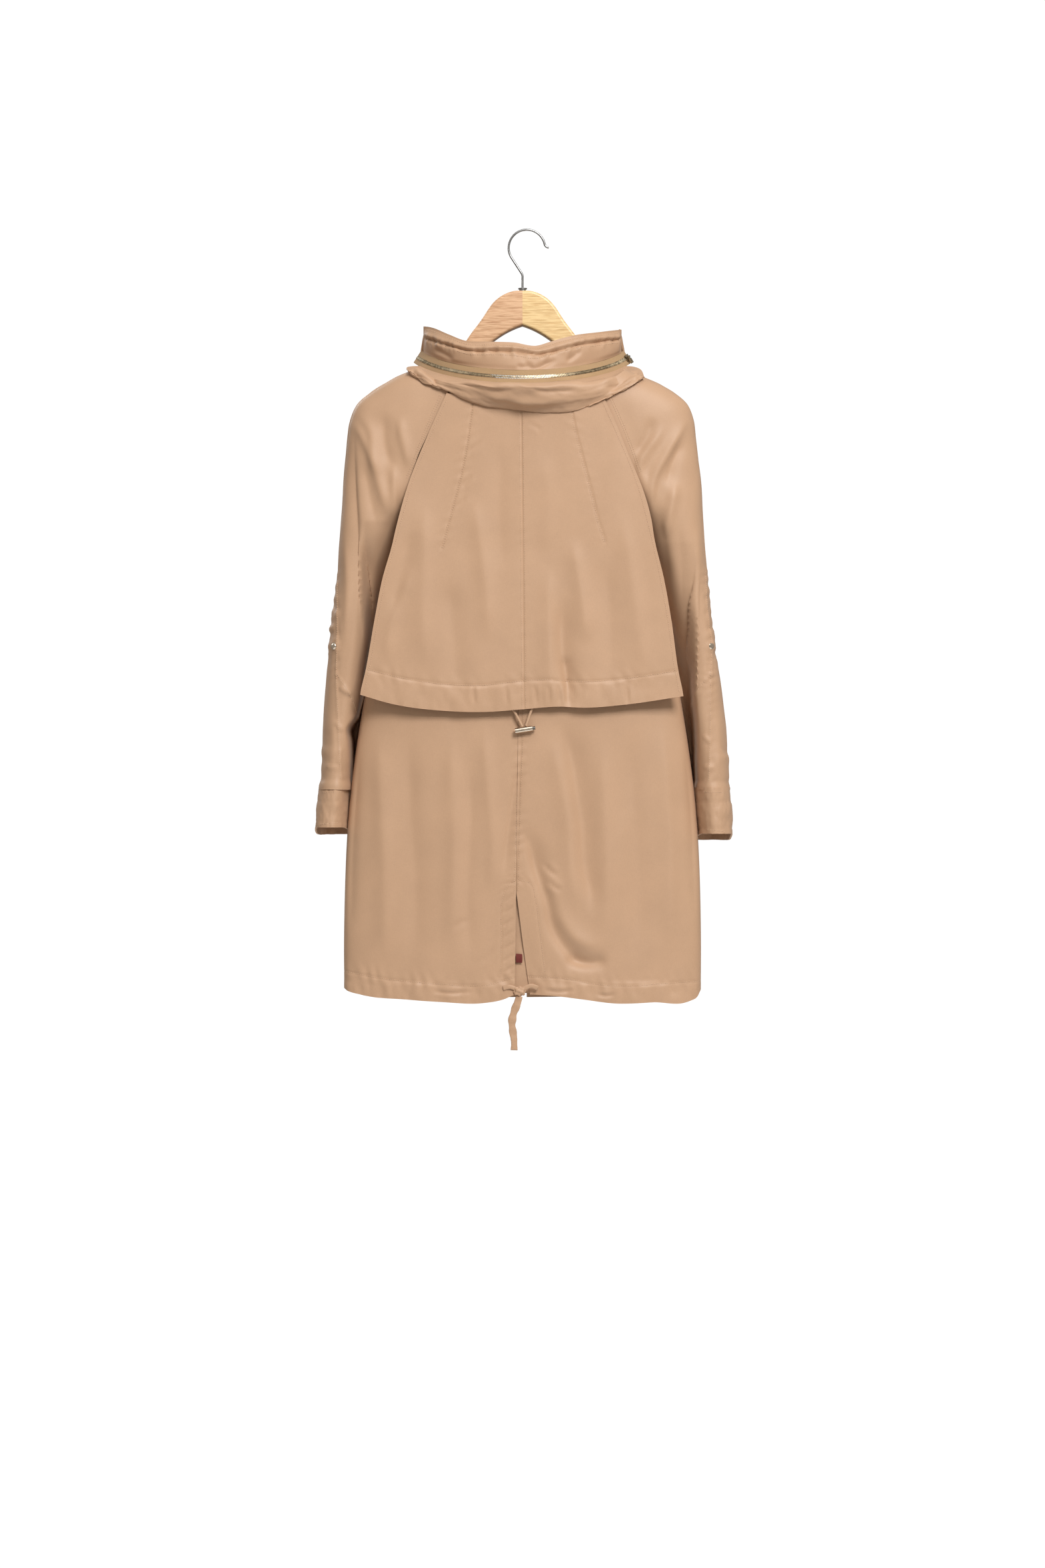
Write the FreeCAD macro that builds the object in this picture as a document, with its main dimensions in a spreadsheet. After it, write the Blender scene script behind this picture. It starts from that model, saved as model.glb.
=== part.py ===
"""Hooded parka hanging by its wooden hanger, as an assembly of separate pieces.

Frame: millimetres, +Z up. The origin is where the rail bears inside the hook's bend. +Y is the way the
wearer faces, so the coat's back faces -Y, and +X is the wearer's right. "Out" is away from the coat's inside.
Cloth panels are closed sheets between two offset surfaces; their heights and half widths are station lists.
"""
import FreeCAD
import Part
import Sketcher

import math
import os

from FreeCAD import Placement, Rotation, Vector

# Driving dimensions, in millimetres and degrees: alias, value, meaning.
DIMENSIONS = [
    ("coat_centre", -6.2, "x of the coat's and the shank's centre line"),
    ("wire_radius", 1.65, "hook wire"),
    ("hook_radius", 26.15, "hook bend, to the wire's centre"),
    ("shank_bottom", -125.0, "lower end of the hook's shank"),
    ("shank_top", -58.0, "height where the shank starts to lean"),
    ("ferrule_top", -84.0, "top of the ferrule"),
    ("ferrule_radius", 5.0, "ferrule barrel"),
    ("ferrule_depth", 46.0, "ferrule barrel length"),
    ("running_gap", 0.08, "radial clearance of turning pieces"),
    ("arm_thickness", 24.0, "hanger arm, front to back"),
    ("dowel_radius", 2.0, "hanger joint dowel"),
    ("dowel_length", 36.0, "hanger joint dowel"),
    ("cloth", 1.6, "shell and lining together"),
    ("seam_gap", 0.3, "clear gap between neighbouring panels"),
    ("front_depth", 54.0, "centre front, from the coat's mid plane"),
    ("hem_height", -1102.0, "bottom edge of the skirt"),
    ("vent_height", -948.0, "top of the back vent"),
    ("raglan_depth", 50.0, "shoulder bulge, from the mid plane"),
    ("cape_depth", 60.0, "cape surface, from the mid plane"),
    ("cape_hinge", -462.0, "height of the line where the cape starts to lift"),
    ("cape_bottom", -690.0, "cape's bottom edge at centre back"),
    ("cape_corner", -668.0, "cape's bottom corners"),
    ("cape_band", 38.0, "width of the cape's hem band"),
    ("sleeve_top", -345.0, "height where the swinging part of a sleeve starts"),
    ("sleeve_bottom", -801.0, "height of the cuff seam"),
    ("cuff_bottom", -869.0, "cuff's bottom edge"),
    ("zip_radius", 162.0, "collar zip's circle"),
    ("zip_tilt", 21.2, "tilt of that circle about X"),
    ("zip_centre_y", 91.0, "centre of that circle"),
    ("zip_centre_z", -157.4, "centre of that circle"),
    ("zip_lean", 34.5, "lean of the collar zip's tape from the circle's axis"),
    ("zip_half_angle", 70.0, "half of the collar zip's sweep"),
    ("slider_angle", 68.0, "where the collar slider rests"),
    ("chain_width", 5.0, "zip teeth, across the chain"),
    ("chain_thickness", 2.2, "zip teeth, through the tape"),
    ("slider_gap", 0.4, "slider plate to zip teeth"),
    ("slider_plate", 1.2, "slider plate thickness"),
    ("slider_length", 11.0, "slider, along the chain"),
    ("slider_width", 9.0, "slider, across the chain"),
    ("puller_length", 26.0, "front zip's puller below its pin"),
    ("short_puller", 10.5, "collar zip's puller below its pin"),
    ("puller_width", 8.0, "zip puller"),
    ("puller_thickness", 1.4, "zip puller"),
    ("puller_hole", 1.6, "radius of the hole at the puller's end"),
    ("pin_radius", 0.7, "slider crown's bar"),
    ("front_zip_top", -240.0, "top of the front zip"),
    ("front_zip_bottom", -1050.0, "bottom of the front zip"),
    ("front_slider_height", -268.0, "where the front slider rests"),
    ("lock_radius", 3.9, "cord lock barrel"),
    ("lock_bore", 3.0, "cord lock barrel's bore"),
    ("lock_length", 25.0, "cord lock barrel"),
    ("lock_tilt", 9.0, "cord lock barrel, from level"),
    ("lock_x", 1.9, "cord lock centre, from the coat's centre line"),
    ("lock_y", -60.5, "cord lock centre"),
    ("lock_z", -717.7, "cord lock centre"),
    ("plunger_travel", 3.0, "cord lock plunger's stroke"),
    ("spring_radius", 1.7, "cord lock spring, outside"),
    ("cord_radius", 1.8, "waist cord"),
    ("eyelet_height", -642.0, "waist cord eyelets"),
    ("tie_width", 11.0, "hem tie"),
    ("tie_thickness", 3.0, "hem tie"),
    ("snap_radius", 5.3, "sleeve snap"),
    ("snap_y", -36.4, "inner face of the sleeve snap"),
    ("snap_turn", 28.0, "sleeve snap's face, turned outwards from the back"),
    ("snap_height", -598.0, "sleeve snap"),
    ("flap_width", 112.0, "pocket flap"),
    ("flap_height", 52.0, "pocket flap"),
    ("flap_top", -690.0, "pocket flap's hinge line"),
    ("flap_angle", 8.1, "pocket flap, turned about Z to lie along the front"),
    ("flap_x", 115.0, "pocket flap's middle, from the centre line"),
    ("flap_y", 52.5, "pocket flap's inner face at its middle"),
]

# Stations: height, half width of the shell below it; the widest points are the side seams.
BODY_WIDTH = [(-1110, 256), (-1000, 256), (-820, 248), (-690, 230), (-560, 206), (-450, 184), (-360, 162),
              (-300, 138), (-240, 110)]
CAPE_EDGE = [(-680, 232), (-627, 227), (-540, 208), (-462, 187), (-400, 173), (-345, 156), (-300, 137), (-240, 110)]
# Stations of a sleeve: height, inner edge and outer edge from the centre line, back and front of the tube.
SLEEVE = [(-880, 259, 299, -47, 66), (-800, 251, 295, -43, 66), (-735, 242, 291, -41, 68), (-640, 228, 281, -42, 68),
          (-540, 206, 269, -46, 62), (-450, 188, 261, -48, 54), (-400, 177, 257, -49, 51), (-345, 160, 254, -50, 50)]
# A raglan shoulder: share of the way from neck to sleeve, seam x, seam z, ridge x, ridge z.
SHOULDER = [(0.0, 114, -243, 166, -207), (0.2, 122, -262, 193, -223), (0.38, 130, -281, 217, -237),
            (0.52, 136, -295, 234, -252), (0.62, 140, -304, 243, -264), (0.74, 145, -314, 248, -281),
            (0.86, 150, -325, 250, -303), (1.0, 155, -336, 253, -336)]

doc = FreeCAD.newDocument("parka")
sheet = doc.addObject("Spreadsheet::Sheet", "dimensions")
for row, (alias, value, meaning) in enumerate(DIMENSIONS, start=1):
    sheet.set(f"A{row}", alias)
    sheet.set(f"B{row}", str(value))
    sheet.set(f"C{row}", meaning)
    sheet.setAlias(f"B{row}", alias)
doc.recompute()

pieces = []
UP = Vector(0, 0, 1)
LEFT, RIGHT = -1, 1
BACK, FRONT = -1, 1
SIDE_NAMES = {LEFT: "left", RIGHT: "right"}


def size(alias):
    """A driving dimension, from the sheet."""
    return float(sheet.get(alias))


def bind(obj, **formulas):
    """Binds an object's properties to expressions over the sheet's aliases, each written as $alias."""
    for name, formula in formulas.items():
        obj.setExpression(name, formula.replace("$", "dimensions."))
    return obj


def piece(obj, label, placement=None):
    """Names a document object as one of the assembly's nodes."""
    obj.Label = label
    if placement is not None:
        obj.Placement = placement
    pieces.append(obj)
    return obj


def shaped(label, shape, placement=None):
    """A node whose shape comes from Part's own functions."""
    obj = doc.addObject("Part::Feature", label)
    obj.Shape = shape
    return piece(obj, label, placement)


def part(kind, name, **formulas):
    return bind(doc.addObject("Part::" + kind, name), **formulas)


def cut(name, base, tool):
    obj = doc.addObject("Part::Cut", name)
    obj.Base = base
    obj.Tool = tool
    return obj


def fused(name, *objects):
    obj = doc.addObject("Part::MultiFuse", name)
    obj.Shapes = list(objects)
    return obj


def blend_at(stations, at, column):
    """Smooth value of one column of a station list, by cubic runs between stations."""
    rows = sorted(stations)
    at = min(max(at, rows[0][0]), rows[-1][0])
    last = max(i for i in range(len(rows) - 1) if rows[i][0] <= at)
    keys = [row[0] for row in rows]
    values = [row[column] for row in rows]

    def slope(i):
        low, high = max(i - 1, 0), min(i + 1, len(rows) - 1)
        return (values[high] - values[low]) / (keys[high] - keys[low])

    step = keys[last + 1] - keys[last]
    share = (at - keys[last]) / step
    low_value = values[last] * (1 + 2 * share) + slope(last) * step * share
    high_value = values[last + 1] * (3 - 2 * share) - slope(last + 1) * step * (1 - share)
    return low_value * (1 - share) ** 2 + high_value * share ** 2


def smooth_step(value, low, high):
    share = min(max((value - low) / (high - low), 0.0), 1.0)
    return share * share * (3 - 2 * share)


def control_net_face(grid):
    """Smooth face whose control net is the grid, so that its edges follow the net's edges."""
    def knots(count):
        degree = min(3, count - 1)
        inside = count - degree - 1
        return degree, [degree + 1] + [1] * inside + [degree + 1], [float(k) for k in range(inside + 2)]

    u_degree, u_repeats, u_knots = knots(len(grid))
    v_degree, v_repeats, v_knots = knots(len(grid[0]))
    patch = Part.BSplineSurface()
    patch.buildFromPolesMultsKnots(grid, u_repeats, v_repeats, u_knots, v_knots, False, False, u_degree, v_degree)
    return patch.toShape()


def cloth_sheet(point, rows, columns, offset, thickness, out):
    """Closed solid between two surfaces: point(across, up) moved out by offset, and by offset + thickness.

    Both moves are level, along the surface's normal, so that edges of constant height stay level.
    """
    tiny = 1e-3

    def normal(across, up):
        along = point(across + tiny, up) - point(across - tiny, up)
        level = Vector(along.x, along.y, 0).cross(UP)
        return level.normalize() * out

    def surface(distance):
        grid = []
        for j in range(rows + 1):
            line = []
            for i in range(columns + 1):
                across, up = i / columns, j / rows
                line.append(point(across, up) + normal(across, up) * distance)
            grid.append(line)
        return control_net_face(grid)

    inner, outer = surface(offset), surface(offset + thickness)
    walls = [Part.makeRuledSurface(a, b) for a, b in zip(inner.Edges, outer.Edges)]
    shell = Part.makeShell([inner, outer] + walls)
    shell.sewShape()
    solid = Part.makeSolid(shell)
    if solid.Volume < 0:
        solid.reverse()
    return solid


# ---------------------------------------------------------------- hanger
def hanger():
    centre = size("coat_centre")
    middle = size("arm_thickness") / 2
    body = doc.addObject("PartDesign::Body", "arm_body")
    outline = body.newObject("Sketcher::SketchObject", "arm_outline")
    planes = {plane.Role: plane for plane in body.Origin.OriginFeatures}
    outline.AttachmentSupport = [(planes["XZ_Plane"], "")]
    outline.MapMode = "FlatFace"
    top = [(0, -87), (-24, -91), (-42, -104), (-58, -127), (-78, -154), (-96, -187), (-118, -216), (-142, -228),
           (-172, -238), (-214, -255), (-228, -268)]
    bottom = [(-224, -284), (-190, -272), (-140, -258), (-104, -234), (-76, -194), (-44, -161), (0, -137)]

    def spline(points):
        curve = Part.BSplineCurve()
        curve.interpolate([Vector(centre + x, z, 0) for x, z in points])
        return curve

    def line(a, b):
        return Part.LineSegment(Vector(centre + a[0], a[1], 0), Vector(centre + b[0], b[1], 0))

    outline.addGeometry([spline(top), line(top[-1], bottom[0]), spline(bottom), line(bottom[-1], top[0])])
    for first, second in ((0, 1), (1, 2), (2, 3), (3, 0)):
        outline.addConstraint(Sketcher.Constraint("Coincident", first, 2, second, 1))
    pad = body.newObject("PartDesign::Pad", "arm_pad")
    pad.Profile = outline
    bind(pad, Length="$arm_thickness")
    pad.Midplane = True
    doc.recompute()
    long_edges = []
    for index, edge in enumerate(pad.Shape.Edges, start=1):
        level = abs(abs(edge.BoundBox.YMin) - middle) < 1e-3 and edge.BoundBox.YLength < 1e-3
        if level and edge.BoundBox.XLength > 100:
            long_edges.append(f"Edge{index}")
    rounding = body.newObject("PartDesign::Fillet", "arm_rounding")
    rounding.Base = (pad, long_edges)
    rounding.Radius = 4.0
    doc.recompute()
    bore = part("Cylinder", "ferrule_bore", Radius="$ferrule_radius", Height="$ferrule_depth")
    bore.Placement.Base = Vector(centre, 0, size("ferrule_top") - size("ferrule_depth"))
    left = piece(cut("left_arm", body, bore), "hanger_left_arm")
    right = doc.addObject("Part::Mirroring", "right_arm")
    right.Source = left
    right.Normal = Vector(1, 0, 0)
    right.Base = Vector(centre, 0, 0)
    piece(right, "hanger_right_arm")
    dowels = []
    for side in (BACK, FRONT):
        dowel = part("Cylinder", f"dowel_{side + 2}", Radius="$dowel_radius", Height="$dowel_length")
        start = Vector(centre - size("dowel_length") / 2, side * 8.5, -113)
        dowel.Placement = Placement(start, Rotation(Vector(0, 1, 0), 90))
        dowels.append(dowel)
    piece(fused("dowel_pair", *dowels), "hanger_dowels")


def hook():
    centre = size("coat_centre")
    barrel = part("Cylinder", "ferrule_barrel", Radius="$ferrule_radius", Height="$ferrule_depth - 2")
    barrel.Placement.Base = Vector(centre, 0, size("ferrule_top") - size("ferrule_depth") + 2)
    flange = part("Cylinder", "ferrule_flange", Radius="$ferrule_radius + 1.6", Height="1.6 mm")
    flange.Placement.Base = Vector(centre, 0, size("ferrule_top"))
    throat = part("Cylinder", "ferrule_throat", Radius="$wire_radius + $running_gap", Height="60 mm")
    throat.Placement.Base = Vector(centre, 0, size("ferrule_top") - 50)
    pocket = part("Cylinder", "ferrule_pocket", Radius="3.3 mm", Height="9 mm")
    pocket.Placement.Base = Vector(centre, 0, size("shank_bottom") - 4)
    hollow = fused("ferrule_hollow", throat, pocket)
    piece(cut("ferrule", fused("ferrule_solid", barrel, flange), hollow), "hook_ferrule")

    radius = size("hook_radius")
    bend = Vector(0, 0, -radius + size("wire_radius"))
    lean = math.radians(213)
    left_end = bend + Vector(math.cos(lean), 0, math.sin(lean)) * radius
    heading = Vector(-math.sin(lean), 0, math.cos(lean))
    knee = Vector(centre, 0, left_end.z - (centre - left_end.x) * heading.z / -heading.x)
    fillet = 9.0
    turn = math.acos(abs(heading.z))
    reach = fillet * math.tan(turn / 2)
    to_left = (left_end - knee).normalize()
    low, high = knee - UP * reach, knee + to_left * reach
    inner = (low + high) * 0.5
    away = (inner - knee).normalize()
    crown = knee + away * (fillet / math.cos(turn / 2) - fillet)
    tip_angle = math.radians(12)
    right_end = bend + Vector(math.cos(tip_angle), 0, math.sin(tip_angle)) * radius
    tip_heading = Vector(math.sin(tip_angle), 0, -math.cos(tip_angle))
    flare = Vector(6.0, 0, -5.0)
    path = Part.Wire([
        Part.LineSegment(Vector(centre, 0, size("shank_bottom")), low).toShape(),
        Part.Arc(low, crown, high).toShape(),
        Part.LineSegment(high, left_end).toShape(),
        Part.Arc(left_end, bend + UP * radius, right_end).toShape(),
        Part.Arc(right_end, right_end + tip_heading * 2.5 + Vector(0.7, 0, 0), right_end + flare).toShape(),
    ])
    ring = Part.Wire(Part.makeCircle(size("wire_radius"), Vector(centre, 0, size("shank_bottom")), UP))
    wire = path.makePipeShell([ring], True, False)
    head = Part.makeCylinder(2.9, 3.0, Vector(centre, 0, size("shank_bottom") - 1.5), UP)
    shaped("hanger_hook", wire.fuse(head).removeSplitter())


# ---------------------------------------------------------------- body panels
def centre_back(height):
    """The centre-back seam drifts a little to the wearer's left on its way down."""
    share = min(max((-height - 240) / 700, 0.0), 1.0)
    return size("coat_centre") - 1 - 8 * share


def body_point(side, face, angle_in, angle_out, height):
    """A point of the body's shell at one height; angle 0 is the centre line and 90 degrees a side seam."""
    width = blend_at(BODY_WIDTH, height, 1)
    if face == FRONT:
        depth = size("front_depth")
    else:
        depth = 47 + 7 * smooth_step(-height, 300, 640)
    round_share = 0.15 + 0.85 * smooth_step(-height, 400, 480)

    def at(across):
        angle = angle_in + (angle_out - angle_in) * across
        level = (1 - round_share) + round_share * math.cos(angle)
        return Vector(size("coat_centre") + side * width * math.sin(angle), face * depth * level, height)

    return at


def body_panel(side, face, top, inner_edge):
    """One quarter of the body: from its inner edge at the centre line to the side seam, hem to neck."""
    side_angle = math.radians(89.7)

    def point(across, up):
        top_height = top[0] + (top[1] - top[0]) * math.sin(min(max(across, 0), 1) * math.pi / 2) ** 2
        height = size("hem_height") + (top_height - size("hem_height")) * up
        width = blend_at(BODY_WIDTH, height, 1)
        start = math.asin((inner_edge(height) - size("coat_centre")) * side / width)
        return body_point(side, face, start, side_angle, height)(across)

    return point


def vent_edge(side):
    """Inner edge of a back panel: the seam above the vent, a free edge below it."""
    swing = {LEFT: -2.0, RIGHT: 19.0}[side]

    def edge(height):
        below = max(size("vent_height") - height, 0) / 150
        return centre_back(height) + side * size("seam_gap") / 2 + swing * below

    return edge


def body():
    for side in (LEFT, RIGHT):
        out = side
        back = body_panel(side, BACK, (-258, -247), vent_edge(side))
        shaped(f"back_{SIDE_NAMES[side]}_panel", cloth_sheet(back, 10, 8, -size("cloth"), size("cloth"), out))
        gap = size("coat_centre") + side * 6.0
        front = body_panel(side, FRONT, (-303, -250), lambda height, gap=gap: gap)
        shaped(f"front_{SIDE_NAMES[side]}_panel", cloth_sheet(front, 10, 8, -size("cloth"), size("cloth"), -out))
    flap = part("Box", "wind_flap", Length="60 mm", Width="$cloth", Height="$front_zip_top - $front_zip_bottom - 70")
    start = Vector(size("coat_centre") - 30, size("front_depth") - 8, size("front_zip_bottom"))
    piece(flap, "front_wind_flap", Placement(start, Rotation()))
    tab = part("Box", "tab", Length="9 mm", Width="0.8 mm", Height="14 mm")
    piece(tab, "vent_tab", Placement(Vector(size("coat_centre") - 9, -50, -1050), Rotation()))


# ---------------------------------------------------------------- cape
def cape_point(side, bottom, top):
    """The cape between two edges, each (height at centre back, height at the side); it flares below its hinge."""
    hinge = size("cape_hinge")

    def point(across, up):
        bow = min(max(across, 0), 1) ** 2
        top_height = top[0] + (top[1] - top[0]) * bow
        bottom_height = bottom[0] + (bottom[1] - bottom[0]) * bow
        height = bottom_height + (top_height - bottom_height) * up
        inner = centre_back(height) + side * size("seam_gap") / 2
        outer = size("coat_centre") + side * blend_at(CAPE_EDGE, height, 1)
        x = inner + (outer - inner) * across
        lift = smooth_step(height, hinge, -300)
        flare = min(max((hinge - height) / 200, 0), 1)
        y = -size("cape_depth") + 5 * lift * across ** 2 - 6 * flare + 4 * flare * across ** 2
        return Vector(x, y, height)

    return point


def cape():
    hinge, gap, thick = size("cape_hinge"), 1.0, size("cloth")
    hem = (size("cape_bottom"), size("cape_corner"))
    band_top = (hem[0] + size("cape_band"), hem[1] + size("cape_band"))
    for side in (LEFT, RIGHT):
        name = SIDE_NAMES[side]
        upper = cape_point(side, (hinge + gap, hinge + gap), (-259, -246))
        shaped(f"cape_{name}_upper", cloth_sheet(upper, 6, 5, -thick, thick, side))
        lower = cape_point(side, hem, (hinge - gap, hinge - gap))
        shaped(f"cape_{name}_flap", cloth_sheet(lower, 5, 5, -thick, thick, side))
    bands = []
    for side in (LEFT, RIGHT):
        band = cape_point(side, hem, band_top)
        bands.append(cloth_sheet(band, 3, 5, -thick - 1.3, 1.0, side))
    shaped("cape_hem_band", Part.makeCompound(bands))


# ---------------------------------------------------------------- shoulders and sleeves
def shoulder_point(side, face):
    def point(across, up):
        seam_x, seam_z, ridge_x, ridge_z = (blend_at(SHOULDER, up, column) for column in (1, 2, 3, 4))
        angle = math.radians(90 + 89.6 * across)
        share = -math.cos(angle)
        x = size("coat_centre") + side * (seam_x + (ridge_x - seam_x) * share)
        return Vector(x, face * size("raglan_depth") * math.sin(angle), seam_z + (ridge_z - seam_z) * share)

    return point


def sleeve_point(side, face, bottom, top, grow=0.0):
    """Half of a sleeve: open towards the body above the underarm, closed to a tube below it, flat along its back."""
    def point(across, up):
        height = bottom + (top - bottom) * up
        inner, outer, back, front = (blend_at(SLEEVE, height, column) for column in (1, 2, 3, 4))
        inner, outer = inner - grow, outer + grow
        middle, depth = (back + front) / 2, (front - back) / 2 + grow
        middle *= smooth_step(-height, 345, 480)
        opening = 90 * (1 - smooth_step(-height, 345, 470)) + 0.3
        angle = math.radians(opening + (179.7 - opening) * across)
        share = (math.cos(math.radians(opening)) - math.cos(angle)) / (math.cos(math.radians(opening)) + 1)
        x = size("coat_centre") + side * (inner + (outer - inner) * share)
        by_snap = math.exp(-((height - size("snap_height")) / 70) ** 2)
        flatness = 1 - (0.42 + 0.2 * by_snap) * smooth_step(-height, 380, 520) * smooth_step(angle, math.pi / 2, 1.9)
        return Vector(x, middle + face * depth * max(math.sin(angle), 0) ** flatness, height)

    return point


def snap(side):
    """Domed press stud: a flange and a cap on the back of the sleeve, facing out as the sleeve does there."""
    name = SIDE_NAMES[side]
    flange = part("Cylinder", f"{name}_snap_flange", Radius="$snap_radius", Height="1.2 mm")
    dome = part("Cone", f"{name}_snap_dome", Radius1="$snap_radius - 0.6", Radius2="$snap_radius - 2.6", Height="1.8 mm")
    outwards = Rotation(UP, side * size("snap_turn")).multiply(Rotation(Vector(1, 0, 0), 90))
    centre = Vector(size("coat_centre") + side * 268.5, size("snap_y"), size("snap_height"))
    flange.Placement = Placement(centre, outwards)
    dome.Placement = Placement(centre + outwards.multVec(UP) * 1.2, outwards)
    piece(fused(f"{name}_snap", flange, dome), f"{name}_sleeve_snap")


def sleeves():
    thick = size("cloth")
    for side in (LEFT, RIGHT):
        name = SIDE_NAMES[side]
        for face, face_name in ((BACK, "back"), (FRONT, "front")):
            out = side * -face
            shoulder = shoulder_point(side, face)
            shaped(f"{name}_raglan_{face_name}", cloth_sheet(shoulder, 9, 6, -thick, thick, out))
            tube = sleeve_point(side, face, size("sleeve_bottom"), size("sleeve_top"))
            shaped(f"{name}_sleeve_{face_name}", cloth_sheet(tube, 9, 8, -thick, thick, out))
        rings = []
        for face in (BACK, FRONT):
            wall = sleeve_point(side, face, size("cuff_bottom"), size("sleeve_bottom") - size("seam_gap"), 1.2)
            rings.append(cloth_sheet(wall, 3, 8, -2.2, 2.2, side * -face))
        shaped(f"{name}_cuff", Part.makeCompound(rings))
        snap(side)
        tab = part("Box", f"{name}_tab", Length="16 mm", Width="1.4 mm", Height="125 mm")
        start = Vector(size("coat_centre") + side * 264 - 8, -18, -735)
        piece(tab, f"{name}_roll_tab", Placement(start, Rotation()))


# ---------------------------------------------------------------- collar, its zip and the hood
def zip_frame():
    """Placement of the collar zip's circle: local Z is its axis and local -Y its lowest point, at centre back."""
    centre = Vector(size("coat_centre"), size("zip_centre_y"), size("zip_centre_z"))
    return Placement(centre, Rotation(Vector(1, 0, 0), size("zip_tilt")))


def zip_local(angle, across, out):
    """A point beside the collar zip, in its circle's frame: across the tape and out from it."""
    lean = math.radians(size("zip_lean"))
    radius = size("zip_radius") - math.sin(lean) * across + math.cos(lean) * out
    height = math.cos(lean) * across + math.sin(lean) * out
    return Vector(radius * math.sin(angle), -radius * math.cos(angle), height)


def zip_world(angle, across=0.0, out=0.0):
    return zip_frame().multVec(zip_local(angle, across, out))


def zip_ring(across, out, start, end):
    """A band of rectangular section along the collar zip, in its circle's frame."""
    first = math.radians(start)
    corners = [zip_local(first, a, o) for a, o in ((across[0], out[0]), (across[1], out[0]),
                                                   (across[1], out[1]), (across[0], out[1]))]
    face = Part.Face(Part.makePolygon(corners + corners[:1]))
    return face.revolve(Vector(0, 0, 0), UP, end - start)


def collar_top(share):
    """The collar's top edge round the back; share is -1 at the wearer's left peak and 1 at the right."""
    x = size("coat_centre") + 140 * share
    return Vector(x, -48 + 73 * abs(share) ** 3, -166 + 27 * abs(share) ** 1.8)


def collar_back_point(low, high):
    half = math.radians(66)

    def point(across, up):
        angle = half * (2 * across - 1)
        bottom, top = zip_world(angle, 11.3), collar_top(math.sin(angle) / math.sin(half))
        return bottom + (top - bottom) * (low + (high - low) * up)

    return point


def collar_front_point(side):
    """Front of the collar, from beside the neck to the centre front, neck seam to top edge."""
    def point(across, up):
        angle = math.pi / 2 * across
        inwards = 1 - math.cos(angle)
        bottom = Vector(153 - 147 * inwards, 45 + 9 * math.sin(angle), -203 - 98 * inwards)
        top = Vector(141 - 135 * inwards, 37 + 17 * math.sin(angle), -140 - 88 * inwards)
        here = bottom + (top - bottom) * up
        return Vector(size("coat_centre") + side * here.x, here.y, here.z)

    return point


def pouch_point(across, up):
    """Hood pouch: it bulges over the neck seam between the zip's lower tape and its own lower edge."""
    share = 2 * across - 1
    reach = math.radians(80)
    level = (1 - math.cos(share * reach)) / (1 - math.cos(reach))
    lower = Vector(size("coat_centre") + 157 * math.sin(share * reach) / math.sin(reach),
                   -78 + 68 * level, -266 + 61 * abs(share) ** 1.5)
    upper = zip_world(math.radians(58) * share, -9.3)
    bulge = 4 * up * (1 - up) * (12 - 6 * abs(share))
    out = Vector(math.sin(share * reach), -math.cos(share * reach), 0)
    return lower + (upper - lower) * up + out * bulge


def collar():
    thick = size("cloth")
    shaped("collar_back", cloth_sheet(collar_back_point(0, 1), 4, 14, -thick, thick, 1))
    shaped("collar_drawcord", cloth_sheet(collar_back_point(0.62, 0.7), 2, 14, -thick - 3.0, 2.6, 1))
    for side in (LEFT, RIGHT):
        front = collar_front_point(side)
        shaped(f"collar_{SIDE_NAMES[side]}_front", cloth_sheet(front, 4, 7, -thick, thick, side))
    shaped("hood_pouch", cloth_sheet(pouch_point, 6, 14, -thick, thick, 1))

    half, edge = size("zip_half_angle"), size("chain_width") / 2
    tape = (-0.45, 0.45)
    placed = zip_frame()
    shaped("collar_zip_upper_tape", zip_ring((edge + 0.1, 11.0), tape, -half, half), placed)
    shaped("collar_zip_lower_tape", zip_ring((-9.0, -edge - 0.1), tape, -half, half), placed)
    through = size("chain_thickness") / 2
    shaped("collar_zip_teeth", zip_ring((-edge, edge), (-through, through), -half, half), placed)

    spine_centre = Vector(0, -(size("zip_radius") + 15.5), -22.5)
    ellipse = Part.Ellipse(Vector(0, 0, 0), 9.0, 4.5).toShape()
    section = Part.Face(Part.Wire(ellipse))
    section.rotate(Vector(0, 0, 0), Vector(1, 0, 0), 90)
    section.rotate(Vector(0, 0, 0), Vector(0, 1, 0), 90)
    section.rotate(Vector(0, 0, 0), Vector(0, 0, 1), 90)
    section.rotate(Vector(0, 0, 0), Vector(1, 0, 0), -size("zip_tilt"))
    section.translate(spine_centre)
    section.rotate(Vector(0, 0, 0), UP, -27)
    shaped("folded_hood", section.revolve(Vector(0, 0, 0), UP, 54), placed)


def slider_offsets():
    """Inner and outer face of a slider plate, out from the middle of the chain."""
    inner = size("chain_thickness") / 2 + size("slider_gap")
    return inner, inner + size("slider_plate")


def pin_height():
    """The crown bar's axis, out from the middle of the chain."""
    return slider_offsets()[1] + 1.6


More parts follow.
